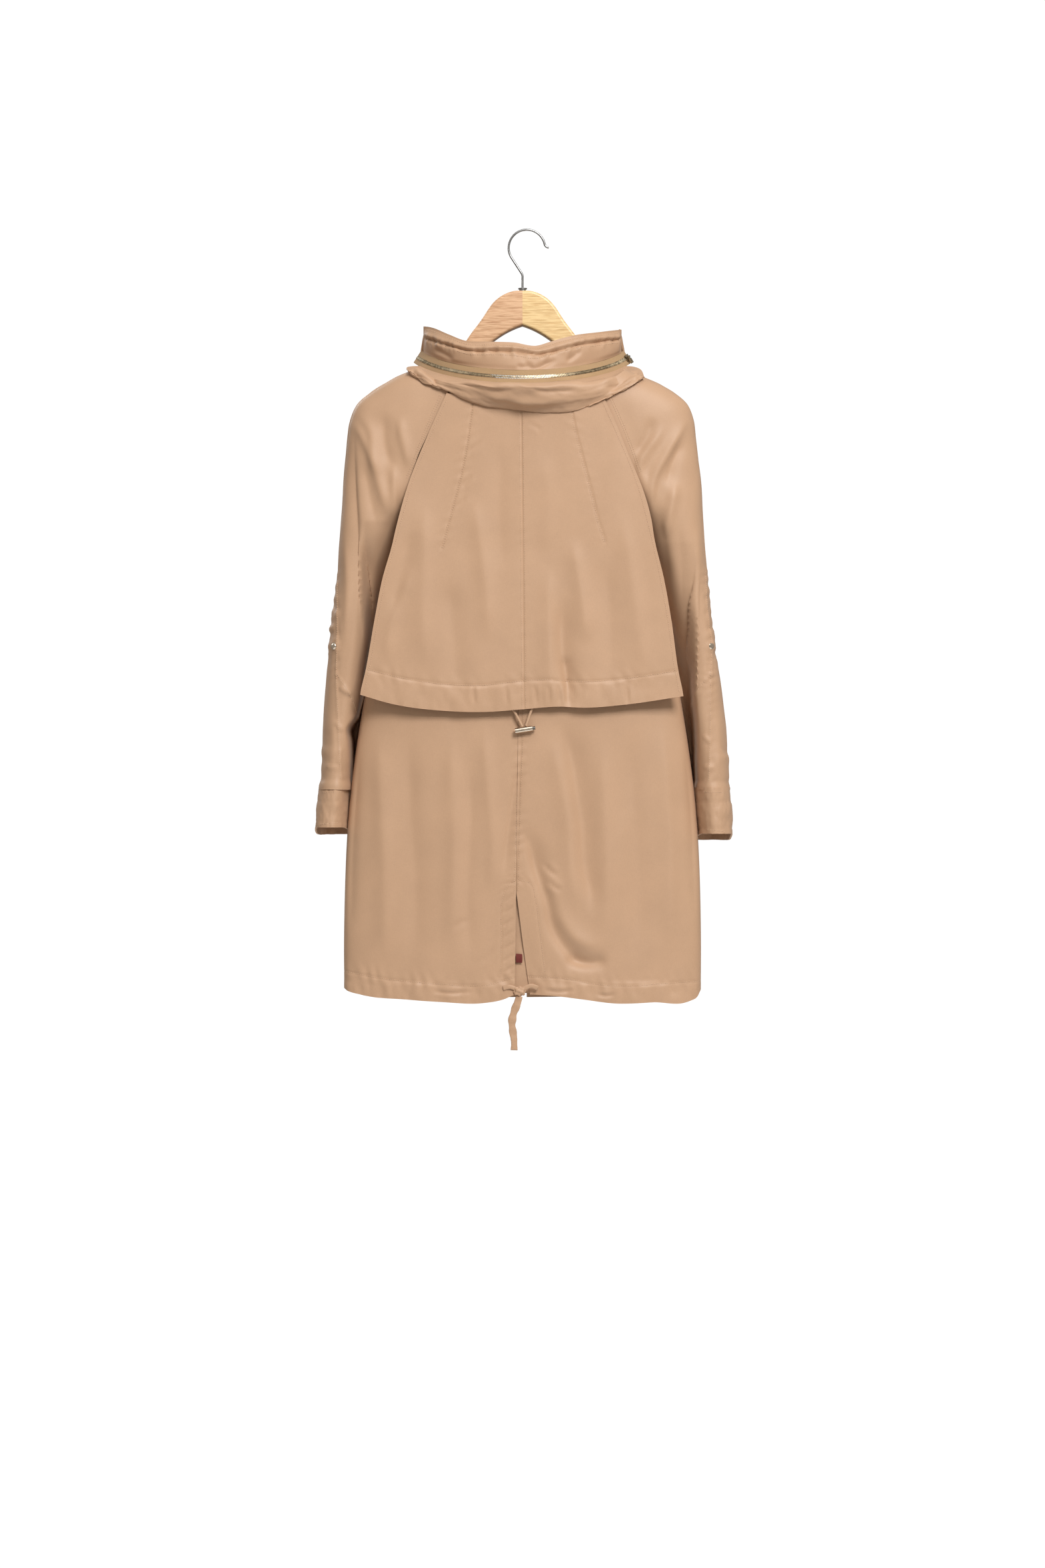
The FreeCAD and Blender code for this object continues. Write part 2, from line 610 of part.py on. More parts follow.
def puller(label, length_alias, hinge_placement):
    """Flat zip puller: local Z runs up through its eye, local X along the crown's bar, local Y out."""
    length, width = size(length_alias), size("puller_width")
    plate = part("Box", label + "_plate", Length="$puller_width", Width="$puller_thickness", Height="$" + length_alias)
    plate.Placement.Base = Vector(-width / 2, -size("puller_thickness") / 2, -length)
    eye = part("Cylinder", label + "_eye", Radius="1.35 mm", Height="$puller_width - 4")
    eye.Placement = Placement(Vector(-width / 2 + 2, 0, 0), Rotation(Vector(0, 1, 0), 90))
    bar = part("Cylinder", label + "_eye_bore", Radius="$pin_radius + $running_gap", Height="20 mm")
    bar.Placement = Placement(Vector(-10, 0, 0), Rotation(Vector(0, 1, 0), 90))
    hole = part("Cylinder", label + "_hole", Radius="$puller_hole", Height="6 mm")
    hole.Placement = Placement(Vector(0, 3, -length + 4), Rotation(Vector(1, 0, 0), 90))
    tools = [bar, hole]
    for index, side in enumerate((LEFT, RIGHT)):
        notch = part("Box", f"{label}_notch_{index}", Length="3 mm", Width="6 mm", Height="6 mm")
        notch.Placement.Base = Vector(side * (width / 2 - 0.5) - 1.5, -3, -3)
        tools.append(notch)
    made = cut(label + "_cut", fused(label + "_solid", plate, eye), fused(label + "_tools", *tools))
    piece(made, label, hinge_placement)


def crown(width, base):
    """Slider crown: two posts and the bar between them; local X along the bar, local Y out, bar at the origin."""
    posts = []
    for side in (LEFT, RIGHT):
        posts.append(Part.makeBox(1.0, -base + 0.9, 2.6, Vector(side * width / 2 - 0.5, base, -1.3)))
    bar = Part.makeCylinder(size("pin_radius"), width, Vector(-width / 2, 0, 0), Vector(1, 0, 0))
    return posts[0].fuse([posts[1], bar])


def collar_slider():
    angle = size("slider_angle")
    half_length = math.degrees(size("slider_length") / 2 / size("zip_radius"))
    half_width = size("slider_width") / 2
    inner, outer = slider_offsets()
    start, end = angle - half_length, angle + half_length
    front = zip_ring((-half_width, half_width), (inner, outer), start, end)
    back = zip_ring((-half_width, half_width), (-outer, -inner), start, end)
    turn = math.radians(angle)
    lean = math.radians(size("zip_lean"))
    along = Vector(math.cos(turn), math.sin(turn), 0)
    radial = Vector(math.sin(turn), -math.cos(turn), 0)
    out = radial * math.cos(lean) + UP * math.sin(lean)
    across = UP * math.cos(lean) - radial * math.sin(lean)
    # Local axes of the crown and puller: X against the run, Y out of the tape, Z up across it.
    local = Placement(zip_local(turn, 0, pin_height()), Rotation(along * -1, out, across, "ZXY"))
    loop = crown(7.0, outer - pin_height() - 0.2)
    loop.Placement = local
    shaped("collar_zip_slider", Part.makeCompound([front.fuse(loop), back]), zip_frame())
    puller("collar_zip_puller", "short_puller", zip_frame().multiply(local))


# ---------------------------------------------------------------- front zip and pockets
def front_zip():
    centre, depth = size("coat_centre"), size("front_depth") - 0.6
    length = size("front_zip_top") - size("front_zip_bottom")
    through, edge = size("chain_thickness") / 2, size("chain_width") / 2
    low = size("front_zip_bottom")
    teeth = part("Box", "front_teeth", Length="$chain_width", Width="$chain_thickness",
                 Height="$front_zip_top - $front_zip_bottom")
    piece(teeth, "front_zip_teeth", Placement(Vector(centre - edge, depth - through, low), Rotation()))
    tapes, stops = [], []
    for side in (LEFT, RIGHT):
        name = SIDE_NAMES[side]
        tape = part("Box", f"front_{name}_tape", Length="12 mm", Width="0.8 mm", Height=f"{length} mm")
        tape.Placement.Base = Vector(centre + side * (edge + 6.1) - 6, depth - 2.6, low)
        tapes.append(tape)
        stop = part("Box", f"front_{name}_stop", Length="2 mm", Width="2.4 mm", Height="4 mm")
        stop.Placement.Base = Vector(centre + side * 1.4 - 1, depth - 1.2, size("front_zip_top") + 0.2)
        stops.append(stop)
    box = part("Box", "front_zip_box", Length="7 mm", Width="2.4 mm", Height="8 mm")
    box.Placement.Base = Vector(centre - 3.5, depth - 1.2, low - 8.2)
    piece(fused("front_tapes", *tapes), "front_zip_tapes")
    piece(fused("front_stops", *stops, box), "front_zip_stops")

    inner, outer = slider_offsets()
    width, height = size("slider_width"), size("slider_length")
    middle = Vector(centre, depth, size("front_slider_height"))
    front = Part.makeBox(width, outer - inner, height, middle + Vector(-width / 2, inner, -height / 2))
    back = Part.makeBox(4.6, 0.5, height, middle + Vector(-2.3, -inner - 0.5, -height / 2))
    hinge = Placement(middle + Vector(0, pin_height(), 0), Rotation())
    loop = crown(7.0, outer - pin_height() - 0.2)
    loop.Placement = hinge
    shaped("front_zip_slider", Part.makeCompound([front.fuse(loop), back]))
    puller("front_zip_puller", "puller_length", hinge)


def pockets():
    bags = []
    for side in (LEFT, RIGHT):
        name = SIDE_NAMES[side]
        turn = Rotation(UP, -side * size("flap_angle"))
        flap = part("Box", f"{name}_flap", Length="$flap_width", Width="2 mm", Height="$flap_height")
        hinge = Vector(size("coat_centre") + side * size("flap_x"), size("flap_y"), size("flap_top"))
        corner = turn.multVec(Vector(-size("flap_width") / 2, 0, -size("flap_height")))
        piece(flap, f"{name}_pocket_flap", Placement(hinge + corner, turn))

        def bag(across, up, side=side):
            height = -880 + 180 * up
            width = blend_at(BODY_WIDTH, height, 1)
            near, far = math.asin(66 / width), math.asin(164 / width)
            return body_point(side, FRONT, near, far, height)(across)

        bags.append(cloth_sheet(bag, 4, 4, 0.3, 1.4, -side))
    shaped("pocket_bags", Part.makeCompound(bags))


# ---------------------------------------------------------------- cords, cord lock and small trim
def tangent_path(points):
    """Straight runs joined by tangent arcs as large as their runs allow; prints the tightest radius."""
    edges, start, radii = [], points[0], []
    for before, corner, after in zip(points, points[1:], points[2:]):
        back, ahead = before - corner, after - corner
        turn = math.pi - back.getAngle(ahead)
        reach = 0.45 * min(back.Length, ahead.Length)
        radii.append(reach / math.tan(turn / 2))
        back.normalize()
        ahead.normalize()
        bisector = (back + ahead).normalize()
        middle = corner + bisector * (radii[-1] / math.cos(turn / 2) - radii[-1])
        first, last = corner + back * reach, corner + ahead * reach
        edges += [Part.LineSegment(start, first).toShape(), Part.Arc(first, middle, last).toShape()]
        start = last
    edges.append(Part.LineSegment(start, points[-1]).toShape())
    wire = Part.Wire(edges)
    print("path", round(wire.Length, 1), "mm, tightest radius", round(min(radii), 1), "mm")
    return wire


def cord_tube(label, points, ring):
    wire = tangent_path(points)
    solid = wire.makePipeShell([ring], True, False)
    area = abs(Part.Face(ring).Area)
    print(label, "volume", round(solid.Volume, 1), "section times length", round(area * wire.Length, 1))
    shaped(label, solid)


def waist_cord():
    centre = size("coat_centre")
    lock = Vector(centre + size("lock_x"), size("lock_y"), size("lock_z"))
    tilt = Rotation(Vector(0, 1, 0), 90 - size("lock_tilt"))
    along = tilt.multVec(UP)
    rings = []
    for side, reach, sway in ((LEFT, 38, -2.0), (RIGHT, 27, 1.5)):
        name = SIDE_NAMES[side]
        eye = Vector(centre + side * reach, -54.2, size("eyelet_height"))
        outer = part("Cylinder", f"{name}_eyelet_rim", Radius="5 mm", Height="1.4 mm")
        inner = part("Cylinder", f"{name}_eyelet_hole", Radius="2.6 mm", Height="1.4 mm")
        for ring in (outer, inner):
            ring.Placement = Placement(eye, Rotation(Vector(1, 0, 0), 90))
        rings.append(cut(f"{name}_eyelet", outer, inner))
        top = eye + Vector(0, -0.8, 0)
        end = lock + along * (side * 2.6 + 0.4) + UP * (size("lock_radius") + 0.9)
        drop = end - top
        points = [top, top + Vector(0, -3.4, -2.6), top + Vector(drop.x * 0.22, -5.6, -17),
                  top + Vector(drop.x * 0.5 + sway, -5.4, -36), top + Vector(drop.x * 0.8 + sway / 2, -5.0, -54), end]
        start = Part.Wire(Part.makeCircle(size("cord_radius"), points[0], points[1] - points[0]))
        cord_tube(f"waist_cord_{name}", points, start)
    piece(fused("eyelets", *rings), "waist_cord_eyelets")

    length = size("lock_length")
    tube = part("Cylinder", "lock_tube", Radius="$lock_radius", Height="$lock_length")
    bore = part("Cylinder", "lock_tube_bore", Radius="$lock_bore", Height="$lock_length - 3")
    tube.Placement = Placement(lock - along * (length / 2), tilt)
    bore.Placement = Placement(lock - along * (length / 2 - 3), tilt)
    piece(cut("lock_barrel", tube, bore), "cord_lock_barrel")
    stem = part("Cylinder", "plunger_stem", Radius="$lock_bore - $running_gap", Height="12 mm")
    socket = part("Cylinder", "plunger_socket", Radius="$spring_radius + 0.2", Height="4.2 mm")
    knob = part("Cylinder", "plunger_knob", Radius="$lock_bore - 0.6", Height="$plunger_travel + 1")
    for rod in (stem, socket):
        rod.Placement = Placement(lock + along * (length / 2 - 12), tilt)
    knob.Placement = Placement(lock + along * (length / 2), tilt)
    piece(cut("plunger", fused("plunger_solid", stem, knob), socket), "cord_lock_plunger")
    coil = part("Cylinder", "spring_coil", Radius="$spring_radius", Height="10.6 mm")
    core = part("Cylinder", "spring_core", Radius="$spring_radius - 0.6", Height="10.6 mm")
    for ring in (coil, core):
        ring.Placement = Placement(lock - along * (length / 2 - 3.2), tilt)
    piece(cut("spring", coil, core), "cord_lock_spring")


def hem_tie():
    """A flat self-cloth tie: knotted at the vent's foot and hanging free."""
    centre = size("coat_centre")
    knot = part("Ellipsoid", "knot", Radius1="5.5 mm", Radius2="8.5 mm", Radius3="3.4 mm")
    piece(knot, "hem_tie_knot", Placement(Vector(centre - 4, -58.4, -1090), Rotation()))
    route = [(-4.5, -57, -1097), (-7, -57.5, -1107), (-13, -58, -1121), (-15.5, -58, -1135), (-13.5, -57.5, -1149),
             (-11.5, -57, -1162), (-12, -57, -1174)]
    points = [Vector(centre + x, y, z) for x, y, z in route]
    wide, thick = size("tie_width") / 2, size("tie_thickness") / 2
    heading = (points[1] - points[0]).normalize()
    across = heading.cross(Vector(0, 1, 0)).normalize()
    out = heading.cross(across).normalize()
    corners = [points[0] + across * (a * wide) + out * (b * thick) for a, b in ((-1, -1), (1, -1), (1, 1), (-1, 1))]
    cord_tube("hem_tie", points, Part.makePolygon(corners + corners[:1]))


def neck_trim():
    """Hanging loop sewn inside the back of the neck."""
    centre = size("coat_centre")
    band = part("Box", "loop_band", Length="64 mm", Width="5 mm", Height="6 mm")
    gap = part("Box", "loop_gap", Length="58 mm", Width="3.4 mm", Height="6 mm")
    band.Placement.Base = Vector(centre - 32, -45, -226)
    gap.Placement.Base = Vector(centre - 29, -44.2, -226)
    piece(cut("loop", band, gap), "locker_loop")


hanger()
hook()
body()
cape()
sleeves()
collar()
collar_slider()
front_zip()
pockets()
waist_cord()
hem_tie()
neck_trim()
doc.recompute()

for obj in doc.Objects:
    if "Invalid" in obj.State or "Error" in obj.State:
        raise RuntimeError(f"{obj.Label} failed: {obj.State}")
for obj in pieces:
    if obj.Shape.isNull() or not obj.Shape.isValid() or not obj.Shape.Solids:
        raise RuntimeError(f"{obj.Label} has no valid solid")

os.makedirs("parts", exist_ok=True)
for obj in pieces:
    obj.Shape.exportStep(f"parts/{obj.Label}.step")
print(len(pieces), "pieces written")
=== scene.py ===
"""Looks of the hooded parka on its wooden hanger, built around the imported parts.

Lengths are millimetres until a mesh is made. x is measured from the coat's centre line, z up from
the hook's bend, and y towards the wearer's front. A fold's height is positive away from the coat.
"""

import math

import bmesh
import bpy
import numpy as np
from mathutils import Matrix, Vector
from mathutils.bvhtree import BVHTree


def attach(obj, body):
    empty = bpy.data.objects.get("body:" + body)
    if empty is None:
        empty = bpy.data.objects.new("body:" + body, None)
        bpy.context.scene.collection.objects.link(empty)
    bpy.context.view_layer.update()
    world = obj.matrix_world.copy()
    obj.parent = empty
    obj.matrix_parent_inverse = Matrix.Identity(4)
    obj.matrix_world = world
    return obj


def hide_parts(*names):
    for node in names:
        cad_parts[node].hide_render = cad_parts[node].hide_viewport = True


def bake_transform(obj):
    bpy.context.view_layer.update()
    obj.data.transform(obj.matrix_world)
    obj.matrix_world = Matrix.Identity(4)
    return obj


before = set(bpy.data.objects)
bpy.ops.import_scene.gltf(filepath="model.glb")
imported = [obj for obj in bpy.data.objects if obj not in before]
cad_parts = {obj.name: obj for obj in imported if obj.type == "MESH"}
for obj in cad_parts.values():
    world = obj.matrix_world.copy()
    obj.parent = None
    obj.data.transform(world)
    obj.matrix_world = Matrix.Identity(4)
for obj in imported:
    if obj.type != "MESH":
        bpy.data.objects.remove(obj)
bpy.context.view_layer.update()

MM = 0.001
CENTRE = -6.2               # x of the coat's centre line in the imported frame
LEFT, RIGHT = -1, 1
BACK, FRONT = -1, 1
SIDES = {LEFT: "left", RIGHT: "right"}
CLOTH = 1.4                 # thickness of a shell panel
FULL_TURN = 360


# ---------------------------------------------------------------- curves, folds and noise
def curve(*points):
    """Smooth function through (at, value) pairs."""
    pairs = sorted(points)
    keys = np.array([p[0] for p in pairs], float)
    values = np.array([p[1] for p in pairs], float)
    slopes = np.gradient(values, keys)

    def value(at):
        at = np.clip(np.asarray(at, float), keys[0], keys[-1])
        i = np.clip(np.searchsorted(keys, at) - 1, 0, len(keys) - 2)
        step = keys[i + 1] - keys[i]
        t = (at - keys[i]) / step
        low = values[i] * (1 + 2 * t) + slopes[i] * step * t
        high = values[i + 1] * (3 - 2 * t) - slopes[i + 1] * step * (1 - t)
        return low * (1 - t) ** 2 + high * t ** 2

    return value


def step(value, low, high):
    """0 below low, 1 above high, smooth between them."""
    t = np.clip((np.asarray(value, float) - low) / (high - low), 0, 1)
    return t * t * (3 - 2 * t)


def smooth_line(points, pitch):
    """Points about a pitch apart on a smooth line through the given ones."""
    points = np.array(points, float)
    lengths = np.r_[0, np.cumsum(np.linalg.norm(np.diff(points, axis=0), axis=1))]
    count = max(int(round(lengths[-1] / pitch)), 1)
    at = np.linspace(0, lengths[-1], count + 1)
    return np.stack([curve(*zip(lengths, points[:, k]))(at) for k in range(points.shape[1])], 1)


def beside(x, z, points):
    """Distance from a line, positive on the right of one that runs down, and the way along it."""
    line = smooth_line(points, 7.0)
    best = np.full(x.shape, 1e9)
    signed = np.zeros(x.shape)
    way = np.zeros(x.shape)
    passed = 0.0
    for start, end in zip(line[:-1], line[1:]):
        dx, dz = end - start
        length = math.hypot(dx, dz)
        px, pz = x - start[0], z - start[1]
        t = np.clip((px * dx + pz * dz) / length ** 2, 0, 1)
        away = np.hypot(px - t * dx, pz - t * dz)
        near = away < best
        best = np.where(near, away, best)
        signed = np.where(near, np.sign(dx * pz - dz * px) * away, signed)
        way = np.where(near, passed + t * length, way)
        passed += length
    return signed, way, passed


def near_line(x, z, points, reach):
    """Which grid points are within reach of a line's bounding box."""
    xs, zs = [p[0] for p in points], [p[1] for p in points]
    inside_x = (x > min(xs) - reach) & (x < max(xs) + reach)
    return inside_x & (z > min(zs) - reach) & (z < max(zs) + reach)


def fold(x, z, points, left, right, height, fade=0.25):
    """A ridge, or with a negative height a valley, with a flank of its own width on each side."""
    made = np.zeros(x.shape)
    near = near_line(x, z, points, 3 * max(left, right))
    if near.any():
        away, way, length = beside(x[near], z[near], points)
        width = np.where(away < 0, left, right)
        ends = step(way, 0, fade * length) * step(length - way, 0, fade * length)
        made[near] = height * np.exp(-(np.abs(away) / width) ** 1.7) * ends
    return made


def folds(x, z, lines, *fade):
    """Sum of folds, each (points, left flank, right flank, height) and perhaps its own fade."""
    return sum(fold(x, z, *line, *fade) for line in lines)


def crease(x, z, points, width, depth, fade=0.3):
    """A narrow valley with a low ridge on each side."""
    made = np.zeros(x.shape)
    near = near_line(x, z, points, 6 * width)
    if near.any():
        away, way, length = beside(x[near], z[near], points)
        ends = step(way, 0, fade * length) * step(length - way, 0, fade * length)
        away = np.abs(away) / width
        made[near] = depth * (0.5 * np.exp(-((away - 2.2) / 1.2) ** 2) - np.exp(-away ** 2)) * ends
    return made


def seam(x, z, points, depth=0.7, pucker=0.5, reach=9.0, pitch=13.0, slant=0.5, seed=0):
    """A sewn line: a groove along it, and short puckers across it that fade away from it."""
    made = np.zeros(x.shape)
    near = near_line(x, z, points, 3 * reach)
    if near.any():
        away, way, _ = beside(x[near], z[near], points)
        wander = 6 * noise(way, away * 0.3, 30, seed + 5)
        waves = np.sin((way + slant * away + wander) * 2 * math.pi / pitch)
        strength = 0.55 + 0.45 * noise(way, away * 0, 37, seed + 9)
        groove = depth * np.exp(-(away / 1.5) ** 2)
        made[near] = pucker * strength * waves * np.exp(-(away / reach) ** 2) - groove
    return made


def noise(x, z, width, seed, turn=0.0, stretch=1.0):
    """Smooth noise from -1 to 1 with lumps about that wide, stretched along a turned direction."""
    cells = 61
    lattice = np.random.default_rng(seed).uniform(-1, 1, (cells, cells))
    c, s = math.cos(turn), math.sin(turn)
    u, v = (x * c + z * s) / (width * stretch), (z * c - x * s) / width
    iu, iv = np.floor(u).astype(int), np.floor(v).astype(int)
    fu, fv = u - iu, v - iv
    fu, fv = fu ** 3 * (fu * (6 * fu - 15) + 10), fv ** 3 * (fv * (6 * fv - 15) + 10)
    u0, u1, v0, v1 = iu % cells, (iu + 1) % cells, iv % cells, (iv + 1) % cells
    a, b, c, d = lattice[u0, v0], lattice[u1, v0], lattice[u0, v1], lattice[u1, v1]
    return (a * (1 - fu) + b * fu) * (1 - fv) + (c * (1 - fu) + d * fu) * fv


def wrinkles(x, z, amount, seed, turn=1.3, stretch=3.0):
    """Long lazy undulation and a little fine crumple of a silky shell."""
    lazy = noise(x, z, 42, seed, turn, 1.6 * stretch)
    lazy += 0.4 * noise(x, z, 24, seed + 1, turn + 0.12, 1.3 * stretch)
    ridged = 0.5 - np.abs(noise(x, z, 30, seed + 3, turn - 0.25, stretch))
    fine = noise(x, z, 11, seed + 4, turn + 0.2, 1.6)
    return amount * (1.9 * lazy + 0.5 * ridged + 0.10 * fine)


def spaced(low, high, pitch, finer=()):
    """Positions about a pitch apart, closer together near each (place, reach, pitch)."""
    dense = np.linspace(low, high, 4001)
    rate = np.full(dense.shape, 1 / pitch)
    for place, reach, small in finer:
        rate += (1 / small - 1 / pitch) * np.exp(-((dense - place) / reach) ** 4)
    total = np.r_[0, np.cumsum((rate[1:] + rate[:-1]) / 2 * np.diff(dense))]
    count = int(math.ceil(total[-1]))
    return np.interp(np.linspace(0, total[-1], count + 1), total, dense)


# ---------------------------------------------------------------- meshes
def mesh_object(name, points, faces, material, smooth=True):
    """A mesh piece from points in millimetres, x from the coat's centre line."""
    mesh = bpy.data.meshes.new(name)
    placed = (np.asarray(points, float) + np.array([CENTRE, 0, 0])) * MM
    mesh.from_pydata(placed.tolist(), [], [list(f) for f in faces])
    work = bmesh.new()
    work.from_mesh(mesh)
    bmesh.ops.recalc_face_normals(work, faces=work.faces)
    work.to_mesh(mesh)
    work.free()
    mesh.polygons.foreach_set("use_smooth", [smooth] * len(mesh.polygons))
    obj = bpy.data.objects.new(name, mesh)
    bpy.context.scene.collection.objects.link(obj)
    mesh.materials.append(material)
    return obj


def normals(grid, loop=False):
    """Unit normals of a grid, towards the side where its columns and rows run anticlockwise."""
    if loop:
        padded = np.concatenate([grid[:, -1:], grid, grid[:, :1]], 1)
        along = (padded[:, 2:] - padded[:, :-2]) / 2
    else:
        along = np.gradient(grid, axis=1)
    normal = np.cross(along, np.gradient(grid, axis=0))
    return normal / np.maximum(np.linalg.norm(normal, axis=2, keepdims=True), 1e-9)


def cloth(name, grid, material, thick=CLOTH, out=1, loop=False):
    """A closed two-layer sheet: the grid is its outer face, and out is 1 or -1 along its normals."""
    rows, columns = grid.shape[:2]
    count = rows * columns
    under = grid - normals(grid, loop) * out * thick
    index = np.arange(count).reshape(rows, columns)
    if loop:
        index = np.concatenate([index, index[:, :1]], 1)
    quads = np.stack([index[:-1, :-1], index[:-1, 1:], index[1:, 1:], index[1:, :-1]], -1).reshape(-1, 4)
    borders = [index[0], index[-1]] if loop else [index[0], index[-1], index[:, 0], index[:, -1]]
    rims = [np.stack([b[:-1], b[1:], b[1:] + count, b[:-1] + count], -1) for b in borders]
    faces = np.concatenate([quads, quads[:, ::-1] + count] + rims)
    points = np.concatenate([grid.reshape(-1, 3), under.reshape(-1, 3)])
    obj = mesh_object(name, points, faces.tolist(), material)
    sharpen(obj)
    return obj


def declare(made, body, replaced, slot="shell_cloth", **sheet):
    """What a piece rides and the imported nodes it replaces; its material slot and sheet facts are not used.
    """
    if body:
        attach(made, body)
    if replaced:
        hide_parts(*replaced)
    return made


def capped_tube(name, grid, material):
    """A closed piece from a grid whose columns run round it and whose end rows are caps."""
    index = np.arange(grid.shape[0] * grid.shape[1]).reshape(grid.shape[:2])
    index = np.concatenate([index, index[:, :1]], 1)
    quads = np.stack([index[:-1, :-1], index[:-1, 1:], index[1:, 1:], index[1:, :-1]], -1)
    caps = [index[0, :-1].tolist(), index[-1, :-1].tolist()]
    return mesh_object(name, grid.reshape(-1, 3), quads.reshape(-1, 4).tolist() + caps, material)


def sharpen(obj):
    """Keeps a cloth edge crisp while its faces stay smooth."""
    work = bmesh.new()
    work.from_mesh(obj.data)
    for edge in work.edges:
        if len(edge.link_faces) == 2 and edge.calc_face_angle() > math.radians(55):
            edge.smooth = False
    work.to_mesh(obj.data)
    work.free()


def tree_of(*objects):
    """Search tree over meshes, in metres, for laying stitches on them."""
    points, faces = [], []
    for obj in objects:
        start = len(points)
        points += [v.co.copy() for v in obj.data.vertices]
        faces += [[start + i for i in p.vertices] for p in obj.data.polygons]
    return BVHTree.FromPolygons(points, faces)


def lay(tree, points, face=BACK):
    """Where a line drawn on the coat's back or front meets the cloth, and the normals there."""
    placed = []
    for x, z in points:
        start = Vector(((x + CENTRE) * MM, face * 0.5, z * MM))
        hit, normal, _, _ = tree.ray_cast(start, Vector((0, -face, 0)))
        placed.append((hit / MM - Vector((CENTRE, 0, 0)), normal) if hit is not None else None)
    return placed


def stitch_shape(start, end, normal, width):
    """One stitch: a short six-sided thread, thicker in the middle and sunk at its ends."""
    along = end - start
    across = along.cross(normal).normalized()
    rings, points, faces = (0.0, 0.2, 0.8, 1.0), [], []
    for ring, share in enumerate(rings):
        swell = (0.35, 1.0, 1.0, 0.35)[ring] * width / 2
        lift = (-0.25, 0.12, 0.12, -0.25)[ring] * width * 2
        middle = start + along * share + normal * lift
        for k in range(6):
            turn = k * math.pi / 3
            points.append(middle + across * math.cos(turn) * swell + normal * math.sin(turn) * swell)
    for ring in range(3):
        for k in range(6):
            a, b = ring * 6 + k, ring * 6 + (k + 1) % 6
            faces.append((a, b, b + 6, a + 6))
    faces += [tuple(range(5, -1, -1)), tuple(range(18, 24))]
    return points, faces


def stitched(name, tree, lines, material, face=BACK, length=2.6, gap=0.7, width=0.75):
    """Rows of stitches along lines drawn on the cloth, as one piece."""
    points, faces = [], []
    for line in lines:
        pitch = length + gap
        path = smooth_line(line, pitch)
        for (start, end) in zip(lay(tree, path[:-1], face), lay(tree, path[1:], face)):
            if start is None or end is None or (end[0] - start[0]).length > 2 * pitch:
                continue
            a, b = start[0], start[0] + (end[0] - start[0]) * (length / pitch)
            made, quads = stitch_shape(a, b, (start[1] + end[1]).normalized(), width)
            first = len(points)
            points += made
            faces += [tuple(first + i for i in quad) for quad in quads]
    return mesh_object(name, [tuple(p) for p in points], faces, material)


def shifted(line, sideways):
    """A copy of a line drawn on the cloth, moved to its right as it runs down."""
    points = np.array(line, float)
    heading = np.gradient(points, axis=0)
    heading /= np.linalg.norm(heading, axis=1, keepdims=True)
    return points + np.stack([-heading[:, 1], heading[:, 0]], 1) * sideways


# ---------------------------------------------------------------- materials
def new_material(name, roughness=0.85, metallic=0.0, sheen=0.0):
    material = bpy.data.materials.new(name)
    material.use_nodes = True
    shader = material.node_tree.nodes["Principled BSDF"]
    shader.inputs["Roughness"].default_value = roughness
    shader.inputs["Metallic"].default_value = metallic
    shader.inputs["Sheen Weight"].default_value = sheen
    return material, shader


def node(material, kind, **inputs):
    made = material.node_tree.nodes.new(kind)
    for name, value in inputs.items():
        made.inputs[name.replace("_", " ")].default_value = value
    return made


def link(material, source, target):
    material.node_tree.links.new(source, target)


def place_texture(material, texture, stretch=(1, 1, 1), turn=(0, 0, 0)):
    """Feeds a texture with the piece's own coordinates, in metres, stretched and turned."""
    where = node(material, "ShaderNodeTexCoord")
    mapping = node(material, "ShaderNodeMapping", Scale=stretch, Rotation=turn)
    link(material, where.outputs["Object"], mapping.inputs["Vector"])
    link(material, mapping.outputs["Vector"], texture.inputs["Vector"])
    return texture


def noise_node(material, scale, detail=3.0, stretch=(1, 1, 1), turn=(0, 0, 0)):
    texture = node(material, "ShaderNodeTexNoise", Scale=scale, Detail=detail)
    return place_texture(material, texture, stretch, turn).outputs["Fac"]


def ramp(material, factor, *stops):
    """Colour ramp with (place, sRGB colour from 0 to 255) stops."""
    made = node(material, "ShaderNodeValToRGB")
    elements = made.color_ramp.elements
    while len(elements) < len(stops):
        elements.new(0.5)
    for element, (place, colour) in zip(elements, stops):
        element.position = place
        element.color = linear(colour)
    link(material, factor, made.inputs["Fac"])
    return made.outputs["Color"]


def linear(colour):
    """An sRGB colour from 0 to 255 as linear light, with alpha."""
    values = [c / 255 for c in colour]
    return [v / 12.92 if v <= 0.04045 else ((v + 0.055) / 1.055) ** 2.4 for v in values] + [1.0]


def mix(material, kind, factor, first, second):
    made = material.node_tree.nodes.new("ShaderNodeMix")
    made.data_type = "RGBA"
    made.blend_type = kind
    made.inputs[0].default_value = factor
    link(material, first, made.inputs[6])
    link(material, second, made.inputs[7])
    return made.outputs[2]


def bump(material, shader, *layers):
    """Chains bumps of (height output, strength, distance in mm) into a shader's normal."""
    last = None
    for height, strength, distance in layers:
        made = node(material, "ShaderNodeBump", Strength=strength, Distance=distance * MM)
        link(material, height, made.inputs["Height"])
        if last is not None:
            link(material, last, made.inputs["Normal"])
        last = made.outputs["Normal"]
    link(material, last, shader.inputs["Normal"])


def shade(colour, factor):
    return tuple(min(c * factor, 255) for c in colour)


